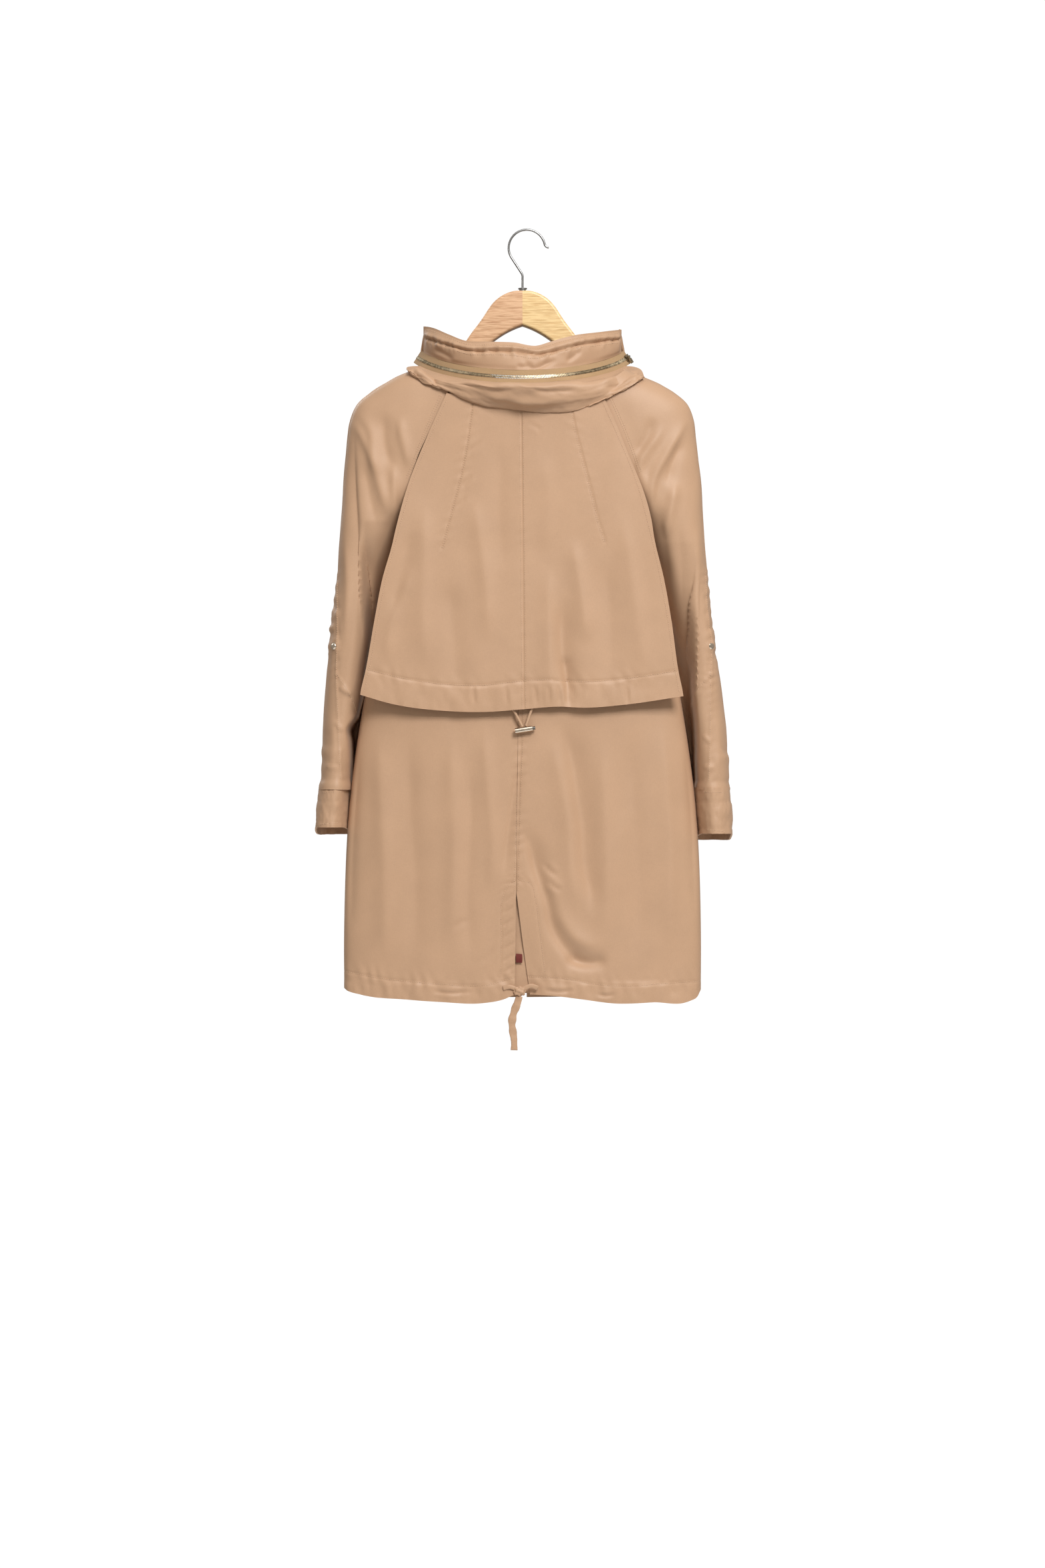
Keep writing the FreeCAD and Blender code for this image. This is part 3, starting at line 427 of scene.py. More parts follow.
def woven(name, colour, weave=1500, mottle=0.012, roughness=0.8, sheen=0.1, depth=0.25):
    """Woven cloth: crossed yarns, slubs and faintly uneven dye; a silky one has a low roughness."""
    material, shader = new_material(name, roughness=roughness, sheen=sheen)
    shader.inputs["Sheen Roughness"].default_value = 0.5
    shader.inputs["Specular IOR Level"].default_value = 0.36
    broad = ramp(material, noise_node(material, 22, 4), (0.3, shade(colour, 1 - mottle)),
                 (0.7, shade(colour, 1 + mottle)))
    yarn = ((0.25, [235 * (1 - 1.6 * mottle)] * 3), (0.75, [240] * 3))
    across = noise_node(material, weave, 1, (0.14, 1, 1))
    up = noise_node(material, weave, 1, (1, 1, 0.14))
    slubs = mix(material, "MULTIPLY", 1.0, ramp(material, across, *yarn), ramp(material, up, *yarn))
    link(material, mix(material, "MULTIPLY", 0.55, broad, slubs), shader.inputs["Base Color"])
    bump(material, shader, (across, depth, 0.25), (up, depth, 0.25))
    return material


def metal(name, colour, roughness, wear=0.1, scale=260):
    material, shader = new_material(name, roughness=roughness, metallic=1.0)
    cloud = noise_node(material, scale, 3)
    tint = ramp(material, cloud, (0.3, shade(colour, 1 - wear)), (0.7, colour))
    link(material, tint, shader.inputs["Base Color"])
    rough = node(material, "ShaderNodeMapRange")
    rough.inputs["To Min"].default_value = roughness * 0.8
    rough.inputs["To Max"].default_value = roughness * 1.3
    link(material, cloud, rough.inputs["Value"])
    link(material, rough.outputs["Result"], shader.inputs["Roughness"])
    bump(material, shader, (noise_node(material, 900, 2), 0.12, 0.1))
    return material


def wood(name, dark, light, turn):
    """Lacquered wood: long slightly wavy grain, darker pores and a soft gloss."""
    material, shader = new_material(name, roughness=0.42)
    shader.inputs["Coat Weight"].default_value = 0.25
    shader.inputs["Coat Roughness"].default_value = 0.25
    grain = noise_node(material, 60, 5, (1, 1, 9), (0, turn, 0))
    pores = noise_node(material, 700, 2, (0.05, 1, 1), (0, turn, 0))
    body = ramp(material, grain, (0.3, dark), (0.55, light), (0.75, shade(light, 1.04)))
    specks = ramp(material, pores, (0.38, (205, 190, 170)), (0.5, (255, 255, 255)))
    link(material, mix(material, "MULTIPLY", 0.5, body, specks), shader.inputs["Base Color"])
    bump(material, shader, (pores, 0.15, 0.2), (grain, 0.1, 0.3))
    return material


SHELL_COLOUR = (200, 162, 130)
shell = woven("shell_cloth", SHELL_COLOUR, roughness=0.52, sheen=0.04, depth=0.12)
thread = woven("shell_thread", (216, 182, 150), weave=3000, mottle=0.02)
lining = woven("lining_cloth", (150, 118, 92), weave=1200)
tape = woven("zip_tape_weave", (184, 151, 112), weave=1900, mottle=0.03)
cord_braid = woven("cord_braid", (205, 168, 136), weave=2600, depth=0.5)
red = woven("red_tab_cloth", (112, 44, 38), weave=1900)
gold = metal("zip_gold", (206, 188, 156), 0.34, 0.35)
steel = metal("bright_steel", (172, 172, 172), 0.3)
nickel = metal("pale_nickel", (222, 208, 190), 0.25)
dark_steel = metal("spring_steel", (120, 116, 110), 0.35)
beech = wood("beech_wood", (196, 150, 112), (219, 178, 140), 0.75)
maple = wood("maple_wood", (216, 178, 122), (233, 202, 148), -0.75)
dowel = wood("dowel_wood", (188, 150, 108), (208, 174, 132), 1.57)


# ---------------------------------------------------------------- shapes of the shell
HEM, NECK = -1102.0, -250.0
BODY_WIDTH = curve((-1110, 256), (-1000, 256), (-820, 248), (-690, 230), (-560, 206), (-450, 184),
                   (-360, 162), (-300, 138), (-240, 110))
BACK_HEM = curve((-256, -1087), (-251, -1090), (-231, -1096), (-164, -1102.5), (-112, -1106),
                 (-59, -1107.5), (-27.5, -1102), (-10, -1095), (9, -1095), (45, -1097), (82, -1101.5),
                 (134, -1108), (187, -1106.5), (239, -1105), (250, -1099), (256.5, -1088))
CAPE_EDGE = {
    LEFT: curve((-700, 231), (-668, 231), (-631, 223), (-560, 210.5), (-501, 199), (-456, 186),
                (-432, 180.5), (-360, 160), (-300, 136), (-238, 108)),
    RIGHT: curve((-700, 230), (-670, 229), (-634, 222), (-562, 212), (-501, 201), (-447, 188),
                 (-416, 183), (-374, 171), (-350, 161.5), (-328, 152), (-283, 134), (-240, 114)),
}
CAPE_BOTTOM = curve((-231, -668), (-186, -681), (-111, -691), (-50, -692.5), (-2, -689), (56, -685),
                    (86, -686.5), (147, -682), (229, -670))
CAPE_HEM_STITCH = [(-224, -631), (-159, -646.5), (-102, -653.5), (-50, -654), (-8, -649), (32, -646.5),
                   (71, -649), (117, -648), (177, -640.5), (224, -633)]
LEFT_DART = [(-69, -244), (-71, -254), (-80, -316), (-88, -356), (-102, -410), (-115, -460)]
RIGHT_DART = [(69, -246), (71, -265), (85, -328), (97, -374), (107, -416), (118, -451)]
CAPE_SEAM = [(-2, -250), (-1, -350), (0, -450), (1, -560), (2, -690)]
SKIRT_SEAM = [(0, -260), (-1, -500), (-2, -724), (-6, -838), (-9, -948)]
VENT_TOP = -948.0


def back_depth(z):
    return 47 + 7 * step(-z, 300, 640)


def body_grid(side, face, inner, columns, rows, hem):
    """Quarter of the body: columns run from the centre line to the side seam, rows from hem to neck."""
    z = rows[:, None] + 0 * columns[None, :]
    width = BODY_WIDTH(z)
    start = np.arcsin(np.clip(inner(rows) * side / BODY_WIDTH(rows), -0.5, 0.5))[:, None]
    angle = start + (math.radians(89.7) - start) * columns[None, :]
    x = side * width * np.sin(angle)
    roundness = 0.15 + 0.85 * step(-z, 400, 480)
    depth = back_depth(z) if face == BACK else 54.0
    flat = 1 - 0.5 * step(-z, 420, 640) if face == BACK else 1.0
    y = face * depth * ((1 - roundness) + roundness * np.maximum(np.cos(angle), 0) ** flat)
    z = z + (hem(x) - HEM) * step(-z, -HEM - 90, -HEM)
    return np.stack([x, y, z], 2)


def raised(grid, height, out):
    """The grid moved along its normals by a height at each point."""
    return grid + normals(grid) * (height * out)[..., None]


SKIRT_FOLDS = [
    ([(55, -700), (70, -755), (79, -810), (86, -859), (89, -907), (98, -952),
      (105, -990)], 9, 20, -5.5, 0.2),
    ([(38, -720), (55, -790), (66, -860), (70, -930), (80, -985)], 14, 12, 3.5),
    ([(-4, -850), (13, -886), (17, -907), (27, -938), (37, -969), (41, -993), (55, -1021),
      (78, -1046), (125, -1050)], 7, 15, -6.5, 0.22),
    ([(30, -905), (44, -950), (56, -990), (82, -1020), (118, -1028)], 11, 13, 4.5),
    ([(58, -1044), (90, -1050), (124, -1046)], 9, 10, -5),
    ([(112, -720), (116, -820), (119, -920), (116, -1010)], 16, 13, 3.2),
    ([(150, -700), (158, -820), (166, -960), (160, -1060)], 18, 16, -3.0),
    ([(198, -690), (206, -800), (212, -930), (209, -1050)], 15, 12, 3.4),
    ([(236, -720), (243, -850), (246, -1000)], 8, 7, -2.2),
    ([(-206, -700), (-202, -810), (-196, -930), (-199, -1060)], 14, 15, 3.6),
    ([(-165, -700), (-160, -820), (-152, -960), (-158, -1060)], 15, 14, -2.8),
    ([(-104, -700), (-100, -800), (-97, -910), (-103, -1040)], 13, 14, 3.0),
    ([(-76, -740), (-74, -850), (-80, -960), (-72, -1060)], 11, 10, -2.4),
    ([(-56, -700), (-50, -790), (-42, -880), (-46, -960)], 10, 11, 2.8),
    ([(-3, -757), (-14, -820), (-22, -881), (-28, -930)], 5, 9, -2.6),
    ([(-236, -740), (-243, -880), (-246, -1020)], 8, 8, -2.0),
]
SKIRT_CREASES = [
    ([(-100, -1004), (-90, -994), (-77, -987)], 4.0, 0.7),
    ([(-62, -1052), (-48, -1040), (-38, -1024)], 3.0, 0.9),
    ([(30, -906), (38, -918), (50, -926)], 3.0, 1.4),
    ([(36, -932), (46, -942), (56, -948)], 3.0, 1.4),
]


def skirt_folds(x, z):
    """Folds of the back below the cape, heights in mm."""
    made = folds(x, z, SKIRT_FOLDS)
    for line in SKIRT_CREASES:
        made += crease(x, z, *line)
    for height in (-955, -972, -989, -1006, -1023, -1040, -1056):
        made += crease(x, z, [(-29, height - 9), (-20, height - 3), (-10, height + 5)], 2.0, 1.3)
    return made


HEM_STITCH = {
    LEFT: [(-256, -1063), (-189, -1074), (-115, -1080), (-59, -1082.5), (-32, -1077), (-13, -1071)],
    RIGHT: [(9.5, -1070), (64, -1072.5), (99, -1079.5), (145, -1083), (204, -1079.5), (256, -1077)],
}
FACING = {
    LEFT: [(-11, -932), (-24, -945), (-29, -961), (-30, -1010), (-31, -1066)],
    RIGHT: [(-9, -930.5), (13, -938), (18.5, -959), (24, -997), (32, -1063)],
}
VENT_SWING = {LEFT: -2.0, RIGHT: 19.0}


def centre_back(z):
    """The centre-back seam drifts a little to the wearer's left on its way down."""
    return -1 - 8 * np.clip((-np.asarray(z, float) - 240) / 700, 0, 1)


def back_panel(side):
    """Half of the back from hem to neck, with the vent's free edge, its hem and its facing."""
    def inner(z):
        return centre_back(z) + side * 0.15 + VENT_SWING[side] * np.maximum(VENT_TOP - z, 0) / 150

    columns = spaced(0, 1, 0.0088, [(0.02, 0.05, 0.0045)])
    rows = spaced(HEM, NECK, 3.0, [(-1080, 34, 2.2)])
    grid = body_grid(side, BACK, inner, columns, rows, BACK_HEM)
    x, z = grid[..., 0], grid[..., 2]
    height = skirt_folds(x, z) * step(-z, 640, 730)
    lazy = wrinkles(x, z, 0.55, 21 if side == LEFT else 31, turn=1.25)
    height += lazy * (0.35 + 0.65 * step(-z, 650, 720))
    height += seam(x, z, HEM_STITCH[side], 0.8, 1.15, 13, 17, 0.4, 3)
    band = step(-z, 1074, 1084)
    height += band * (0.9 + 1.4 * noise(x, z, 17, 40, 1.57, 2.2) + 0.8 * noise(x, z, 8, 41, 1.57, 2.0))
    height += seam(x, z, FACING[side], 0.6, 0.9 if side == LEFT else 0.4, 10, 12, 1.2, 4)
    height += seam(x, z, SKIRT_SEAM, 0.9, 0.6, 9, 15, 0.3, 6) * step(-z, 640, 700)
    for start, level, end in ((-132, -1090, -70), (28, -1088, 76), (104, -1094, 134)):
        height += crease(x, z, [(start, level), ((start + end) / 2, level - 3), (end, level)], 2.2, 1.4)
    edge = step(BODY_WIDTH(z) - np.abs(x), 0, 9)
    grid = raised(grid, height * (0.15 + 0.85 * edge), side)
    free = step(-z, 950, 1080) * np.exp(-(np.abs(x - inner(z)) / 16) ** 2)
    grid[..., 1] += free * (3.0 if side == RIGHT else -1.2)
    panel = cloth(f"{SIDES[side]}_back", grid, shell, out=side)
    return declare(panel, "coat", (f"back_{SIDES[side]}_panel",), flat=(0.33, 0.87), held="hung",
                   rests_on=["hanger_left_arm"], area=0.25)


CAPE_FOLDS = [
    ([(64, -525), (57, -560), (57, -600), (62, -640), (67, -662), (70, -692)], 8, 15, -5.5, 0.3),
    ([(58, -610), (63, -645), (69, -692)], 4.5, 9, -3.5, 0.2),
    ([(70, -440), (78, -490), (86, -540), (92, -600)], 13, 11, 3.2),
    ([(38, -480), (37, -560), (40, -640), (42, -690)], 14, 9, 3.0),
    ([(-72, -380), (-62, -440), (-52, -520), (-50, -600)], 13, 12, 2.8),
    ([(-104, -500), (-98, -580), (-92, -680)], 15, 17, -2.8),
    ([(-141, -380), (-140, -460), (-142, -540), (-138, -640)], 16, 13, 3.0),
    ([(-156, -430), (-172, -490), (-186, -560)], 9, 12, -2.2),
    ([(-154, -480), (-168, -520), (-184, -560), (-196, -630)], 9, 10, 2.6),
    ([(140, -400), (152, -480), (164, -560), (176, -660)], 15, 13, 2.4),
    ([(116, -470), (124, -560), (128, -680)], 17, 15, -2.6),
    ([(-30, -300), (-33, -400), (-28, -500)], 14, 12, -1.4),
    ([(30, -320), (36, -400), (30, -470)], 15, 14, 1.4),
]
CAPE_CREASES = [
    [(-80, -330), (-70, -318), (-57, -304)],
    [(-87, -376), (-81, -366), (-71, -354)],
    [(-66, -258), (-54, -264), (-38, -268)],
    [(6, -281), (14, -284), (28, -292)],
    [(-96, -402), (-88, -396), (-80, -384)],
]


def cape_height(x, z):
    """Folds of the cape, heights in mm."""
    made = folds(x, z, CAPE_FOLDS)
    for line in CAPE_CREASES:
        made += crease(x, z, line, 2.8, 0.7)
    for across in (18, 37, 52, 61, -24, -70, 148):
        made += crease(x, z, [(across - 1, -652), (across + 1, -668), (across + 2, -684)], 2.4, 1.2)
    return made


def cape():
    """The storm cape: one mesh from its free hem up to the neck; it bends where it starts to lift."""
    t = spaced(0, 1, 0.0062, [(0.07, 0.05, 0.005)])[:, None]
    s = spaced(-1, 1, 0.0118, [(0, 0.02, 0.005), (0.9955, 0.012, 0.005), (-0.9955, 0.012, 0.005)])[None, :]
    z = -680 + 436 * t + 0 * s
    for _ in range(2):
        edge = np.where(s < 0, CAPE_EDGE[LEFT](z), CAPE_EDGE[RIGHT](z))
        x = s * edge
        bottom = CAPE_BOTTOM(x)
        top = -250 + 12 * s ** 2
        z = bottom + (top - bottom) * t
    lift, flare = step(z, -462, -300), np.clip((-462 - z) / 200, 0, 1)
    y = -60 + 5 * lift * s ** 2 - 5 * flare + 7 * flare * s ** 2
    grid = np.stack([x, y, z], 2)
    height = cape_height(x, z) * (0.3 + 0.7 * step(-z, 260, 330))
    height += wrinkles(x, z, 0.5, 51, turn=1.35) + seam(x, z, CAPE_HEM_STITCH, 0.9, 0.6, 11, 21, 0.5, 12)
    height += seam(x, z, CAPE_SEAM, 0.9, 0.25, 9, 19, 0.4, 13)
    height += seam(x, z, LEFT_DART, 1.1, 0.3, 10, 17, 0.6, 14)
    height += seam(x, z, RIGHT_DART, 1.1, 0.3, 10, 17, -0.6, 15)
    below = np.interp(x.ravel(), *np.array(CAPE_HEM_STITCH).T).reshape(x.shape)
    band = step(below - z, 1, 6)
    height += band * (0.7 + 0.9 * noise(x, z, 15, 60, 1.57, 2.4) + 0.4 * noise(x, z, 7, 61, 1.57, 2.0))
    keep = step(edge - np.abs(x), -2, 14)
    grid = raised(grid, height * (0.35 + 0.65 * keep), 1)
    made = cloth("storm_cape", grid, shell)
    return declare(made, None, ("cape_left_upper", "cape_right_upper", "cape_left_flap",
                                "cape_right_flap", "cape_hem_band"), flat=(0.48, 0.46), held="hung",
                   rests_on=["left_back", "right_back"], area=0.17)


# ---------------------------------------------------------------- sleeves
# Where a sleeve's lit outer part ends and its hollow beside the body starts, and how far that hollow reaches
# towards the sleeve's front, as a share of the way.
RIDGE = {
    LEFT: curve((-460, 233), (-540, 230), (-624, 229), (-680, 237), (-698, 243), (-716, 254), (-735, 252),
                (-803, 250)),
    RIGHT: curve((-480, 254), (-540, 251), (-620, 249), (-660, 248.5), (-707, 252), (-763, 254),
                 (-803, 255)),
}
HOLLOW = {LEFT: curve((-420, 0), (-440, 0.05), (-500, 0.36), (-640, 0.5), (-700, 0.82), (-803, 0.84)),
          RIGHT: curve((-450, 0), (-480, 0.04), (-540, 0.15), (-620, 0.42), (-700, 0.7), (-803, 0.72))}
# Rows of a raglan sleeve from the neck down: inner x and z, then outer x and z, all for the wearer's side.
SHOULDER = {
    LEFT: [(106, -236, 146, -200), (112, -248, 170, -208), (118, -260, 196, -221), (124, -273, 219, -236),
           (131, -288, 237, -252), (139, -305, 246.5, -275), (147, -322, 250, -297), (154, -341, 253, -326),
           (161, -362, 256, -360)],
    RIGHT: [(106, -236, 148, -202), (112, -248, 172, -212.5), (118, -260, 198, -224), (124, -273, 219, -237),
            (131, -288, 236, -252), (139, -305, 244, -272), (147, -322, 247.5, -300), (154, -341, 251, -330),
            (161, -362, 254.5, -360)],
}
SLEEVE = {
    LEFT: [(-400, 172, 258), (-456, 183, 262), (-507, 194, 265), (-568, 206, 274), (-596, 212, 276),
           (-638, 219, 280), (-721, 233, 286), (-777, 241, 287.5), (-803, 244, 288.5)],
    RIGHT: [(-400, 172, 256.5), (-466, 185, 261), (-507, 194, 265), (-568, 206, 272), (-609, 214, 276.5),
            (-665, 223, 285), (-735, 235, 292.6), (-777, 241, 294.5), (-803, 244, 295)],
}
SLEEVE_BACK = curve((-869, 45), (-800, 43), (-735, 41), (-640, 42), (-540, 46), (-450, 48), (-345, 50))
SLEEVE_FRONT = curve((-869, 66), (-800, 66), (-735, 68), (-640, 68), (-540, 62), (-450, 54), (-400, 51),
                     (-345, 50))


def tube_points(side, rows, angle, grow=0.0):
    """Points round a sleeve: rows of (inner x, inner z, outer x, outer z), angles from the back."""
    inner_x, inner_z, outer_x, outer_z = (rows[:, k:k + 1] for k in range(4))
    level = (inner_z + outer_z) / 2
    face = np.where(angle <= 180, BACK, FRONT)[None, :]
    closing = step(-level, 345, 470)
    opening = np.radians(90 * (1 - closing) + 0.3)
    share_round = np.where(angle <= 180, angle, 360 - angle)[None, :] / 180
    turn = opening + (math.pi - opening) * share_round
    share = (np.cos(opening) - np.cos(turn)) / (np.cos(opening) + 1)
    by_snap = np.exp(-((level + 598) / 70) ** 2)
    fall = 1 - (0.42 + 0.2 * by_snap) * step(turn, math.pi / 2, 1.9)
    round_depth = np.maximum(np.sin(turn), 0) ** fall
    back, front = SLEEVE_BACK(level) + grow, SLEEVE_FRONT(level) + grow
    middle = (front - back) / 2 * step(-level, 345, 480)
    tucked = 26 * step(-level, 420, 560) * np.exp(-(share / 0.26) ** 2)
    half = (front + back) / 2
    x = inner_x - grow + (outer_x - inner_x + 2 * grow) * share
    z = inner_z + (outer_z - inner_z) * share
    return np.stack([side * x, middle + tucked + face * half * round_depth, z + 0 * x], 2)


SLEEVE_FOLDS = {
    LEFT: [
        ([(-240, -258), (-218, -288), (-211, -337), (-196, -395), (-183, -430)], 7, 10, -4.0),
        ([(-242, -274), (-228, -300), (-215, -330), (-205, -360)], 6, 8, -3.0),
        ([(-174, -266), (-173, -294), (-166, -322), (-158, -352)], 6, 8, -3.2),
        ([(-184, -336), (-183, -385), (-185, -424)], 6, 6, -3.2),
        ([(-241, -279), (-239, -365), (-233, -456), (-230, -540), (-229, -624)], 11, 3.5, 4.2),
        ([(-222, -470), (-219, -540), (-222, -630)], 5, 6, -5.0),
        ([(-262, -655), (-252, -663), (-243, -668)], 3, 4, -3.5),
        ([(-270, -706), (-262, -712), (-256, -722)], 2.5, 2.5, -1.8),
        ([(-280, -768), (-271, -772), (-262, -770)], 2.5, 2.5, -1.8),
        ([(-258, -740), (-262, -752), (-263, -770)], 2.5, 2.5, -1.6),
        ([(-196, -262), (-196, -310), (-184, -350)], 9, 9, 2.6),
        ([(-228, -330), (-216, -390), (-204, -440)], 8, 10, 2.4),
        ([(-252, -430), (-249, -520), (-254, -600)], 6, 6, -2.4),
        ([(-210, -440), (-214, -500), (-222, -560)], 8, 8, -2.5),
        ([(-272, -690), (-268, -740), (-272, -790)], 6, 6, -1.8),
    ],
    RIGHT: [
        ([(238, -268), (220, -300), (204, -328), (188, -359), (186, -426)], 9, 5, -4.6),
        ([(202, -280), (190, -302), (177, -319), (166, -344), (172, -368), (182, -394)], 6, 8, -3.6),
        ([(219, -360), (212, -400), (203, -448)], 8, 8, -4.4),
        ([(232, -300), (214, -336), (204, -372)], 7, 9, 3.0),
        ([(253, -470), (251, -540), (249, -620), (250, -700)], 3, 9, 3.6),
        ([(246, -500), (243, -560), (241, -640)], 6, 3.5, -6.0),
        ([(222, -420), (228, -500), (229, -560)], 9, 9, 2.6),
        ([(256, -725), (264, -731), (270, -740)], 2.5, 2.5, -1.8),
        ([(258, -768), (266, -772), (276, -771)], 2.5, 2.5, -1.8),
        ([(280, -745), (286, -752), (289, -762)], 2.5, 2.5, -1.4),
        ([(186, -270), (178, -300), (160, -330)], 8, 8, 2.4),
        ([(196, -400), (202, -450), (210, -520)], 8, 8, 2.0),
        ([(250, -420), (247, -510), (252, -590)], 6, 6, -2.6),
        ([(276, -690), (280, -740), (277, -790)], 6, 6, -1.8),
    ],
}


def sleeve_rows(side, pitch):
    """Rows of a whole sleeve at a pitch along its outer edge."""
    stations = np.array(SHOULDER[side] + [(i, z, o, z) for z, i, o in SLEEVE[side]], float)
    way = np.r_[0, np.cumsum(np.linalg.norm(np.diff(stations[:, 2:], axis=0), axis=1))]
    at = np.arange(0, way[-1] + pitch / 2, way[-1] / round(way[-1] / pitch))
    return np.stack([curve(*zip(way, stations[:, k]))(at) for k in range(4)], 1)


OUTER_SEAM = {
    LEFT: [(-265, -490), (-265, -590), (-266, -635), (-263, -707), (-260, -788)],
    RIGHT: [(262, -490), (264, -540), (270, -601), (269, -638), (268, -707), (266, -791)],
}
ELBOW_SEAM = {
    LEFT: [(-265, -638), (-251, -660), (-239, -688), (-238, -707)],
    RIGHT: [(269, -638), (251, -660), (243, -690), (242, -710)],
}
RAGLAN_STITCH = {
    LEFT: [(-118, -240), (-143, -300), (-166, -360)],
    RIGHT: [(124, -244), (145, -292), (167, -352)],
}


def sleeve(side):
    """A raglan sleeve, neck to cuff seam, as one tube."""
    angle = spaced(0, 360, 3.2, [(150, 24, 2.4)])
    rows = sleeve_rows(side, 3.0)
    grid = tube_points(side, rows, angle)
    x, z = grid[..., 0], grid[..., 2]
    behind = step(180 - angle, -8, 24)[None, :]
    inside = step(RIDGE[side](z) - np.abs(x), 0, 9) * step(np.abs(x) - rows[:, :1], 0, 5)
    to_front = np.maximum(tube_points(side, rows, 360 - angle)[..., 1] - grid[..., 1] - 9, 0)
    grid[..., 1] += HOLLOW[side](z) * inside * to_front * (angle < 180)[None, :]
    height = folds(x, z, SLEEVE_FOLDS[side], 0.3) * behind
    seed = 71 if side == LEFT else 81
    other = 300.0 * (1 - behind)
    height += wrinkles(x + other, z, 0.5, seed, turn=1.4 if side == LEFT else 1.7, stretch=2.4)
    height -= 2.0 * step(-z, 788, 799)
    strip = step(-z, 480, 520) * step(z, -640, -600) * step(np.abs(x), 258, 266)
    height += strip * (1.8 * noise(x, z, 7, seed + 6, 0.5, 1.8))
    around = np.sin(np.clip((angle - 20) / 320, 0, 1) * math.pi)[None, :]
    height += 1.4 * around * step(-z, 700, 760) * noise(z, x * 0.4, 12, seed + 7, 0.1, 1.0)
    for line in (OUTER_SEAM[side], ELBOW_SEAM[side]):
        height += seam(x, z, line, 0.9, 0.6, 7, 12, 0.5, seed + 8) * behind
    fade = np.minimum(step(angle, 0, 18), step(360 - angle, 0, 18))[None, :]
    grid = raised(grid, height * (0.2 + 0.8 * fade), side)
    made = cloth(f"{SIDES[side]}_sleeve", grid, shell, out=side)
    name = SIDES[side]
    return declare(made, None, (f"{name}_raglan_back", f"{name}_raglan_front", f"{name}_sleeve_back",
                                f"{name}_sleeve_front"), flat=(0.42, 0.68), held="hung",
                   rests_on=[f"hanger_{name}_arm"], area=0.17)


def blend_sleeve(obj):
    """Bakes a sleeve's placement into its mesh."""
    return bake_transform(obj)


def cuff(side):
    """Turned-up band at the end of a sleeve, open at the bottom and lower at its front."""
    top, bottom = (-798, (-857, -868)) if side == LEFT else (-800, (-866, -876))
    inner = (244, 248.0) if side == LEFT else (244, 248.0)
    outer = (289, 295.5) if side == LEFT else (296, 299)
    t = spaced(0, 1, 0.045)[:, None]
    angle = spaced(0, 360, 3.0)[:-1]
    rows = np.concatenate([inner[1] + (inner[0] - inner[1]) * t, bottom[0] + (top - bottom[0]) * t,
                           outer[1] + (outer[0] - outer[1]) * t, bottom[0] + (top - bottom[0]) * t], 1)
    grid = tube_points(side, rows, angle, grow=3.0)
    front = step(grid[..., 1], -30, 50)
    grid[..., 2] += (bottom[1] - bottom[0]) * front * (1 - t)
    z = grid[..., 2]
    around = angle[None, :] + 0 * t
    wave = noise(around * 0.6, z, 16, 91 + side, 0.2, 1.4)
    ends = step(around, 0, 14) * step(360 - around, 0, 14)
    height = 1.3 * wave * ends + 0.5 * noise(around, z, 7, 95 + side)
    for level in (6, -20):
        height -= 0.5 * np.exp(-((z - (-820 if level < 0 else bottom[0] + 8)) / 1.6) ** 2)
    grid = grid + normals(grid, True) * (height * side)[..., None]
    made = cloth(f"{SIDES[side]}_cuff_band", grid, shell, thick=2.4, out=side, loop=True)
    return declare(made, f"{SIDES[side]}_sleeve", (f"{SIDES[side]}_cuff",), flat=(0.29, 0.075),
                   held="stretched", rests_on=[f"{SIDES[side]}_sleeve"])


# ---------------------------------------------------------------- collar, zip and hood
ZIP_RADIUS, ZIP_TILT, ZIP_LEAN = 162.0, math.radians(21.2), math.radians(34.5)
ZIP_Y, ZIP_Z = 91.0, -157.4


def tilted(radius, height, angle):
    """Points at an angle round the collar zip's tilted circle, at a radius and a height above its plane."""
    x, y = radius * np.sin(angle), -radius * np.cos(angle)
    return np.stack([x, ZIP_Y + y * math.cos(ZIP_TILT) - height * math.sin(ZIP_TILT),
                     ZIP_Z + y * math.sin(ZIP_TILT) + height * math.cos(ZIP_TILT)], -1)


def zip_point(angle, across, out=0.0):
    """Beside the collar zip: angle round its circle in radians, across its tape and out from it."""
    radius = ZIP_RADIUS - math.sin(ZIP_LEAN) * across + math.cos(ZIP_LEAN) * out
    return tilted(radius, math.cos(ZIP_LEAN) * across + math.sin(ZIP_LEAN) * out, angle)


COLLAR_TOP = curve((-146, -134), (-137, -136), (-105, -151), (-83, -161), (-46, -164), (-13, -165.5),
                   (21, -169.5), (39, -164), (74, -154), (110, -147), (144, -139))


COLLAR_FOLDS = [
    ([(-1, -190), (10, -201), (14, -206), (34, -196), (52, -190)], 4, 4, -3.6),
    ([(60, -194), (72, -186), (84, -174)], 3, 5, -3.0),
    ([(-128, -168), (-112, -178), (-96, -190)], 4, 4, -2.6),
    ([(-10, -198), (-2, -202), (10, -200)], 3, 3, -2.4),
]


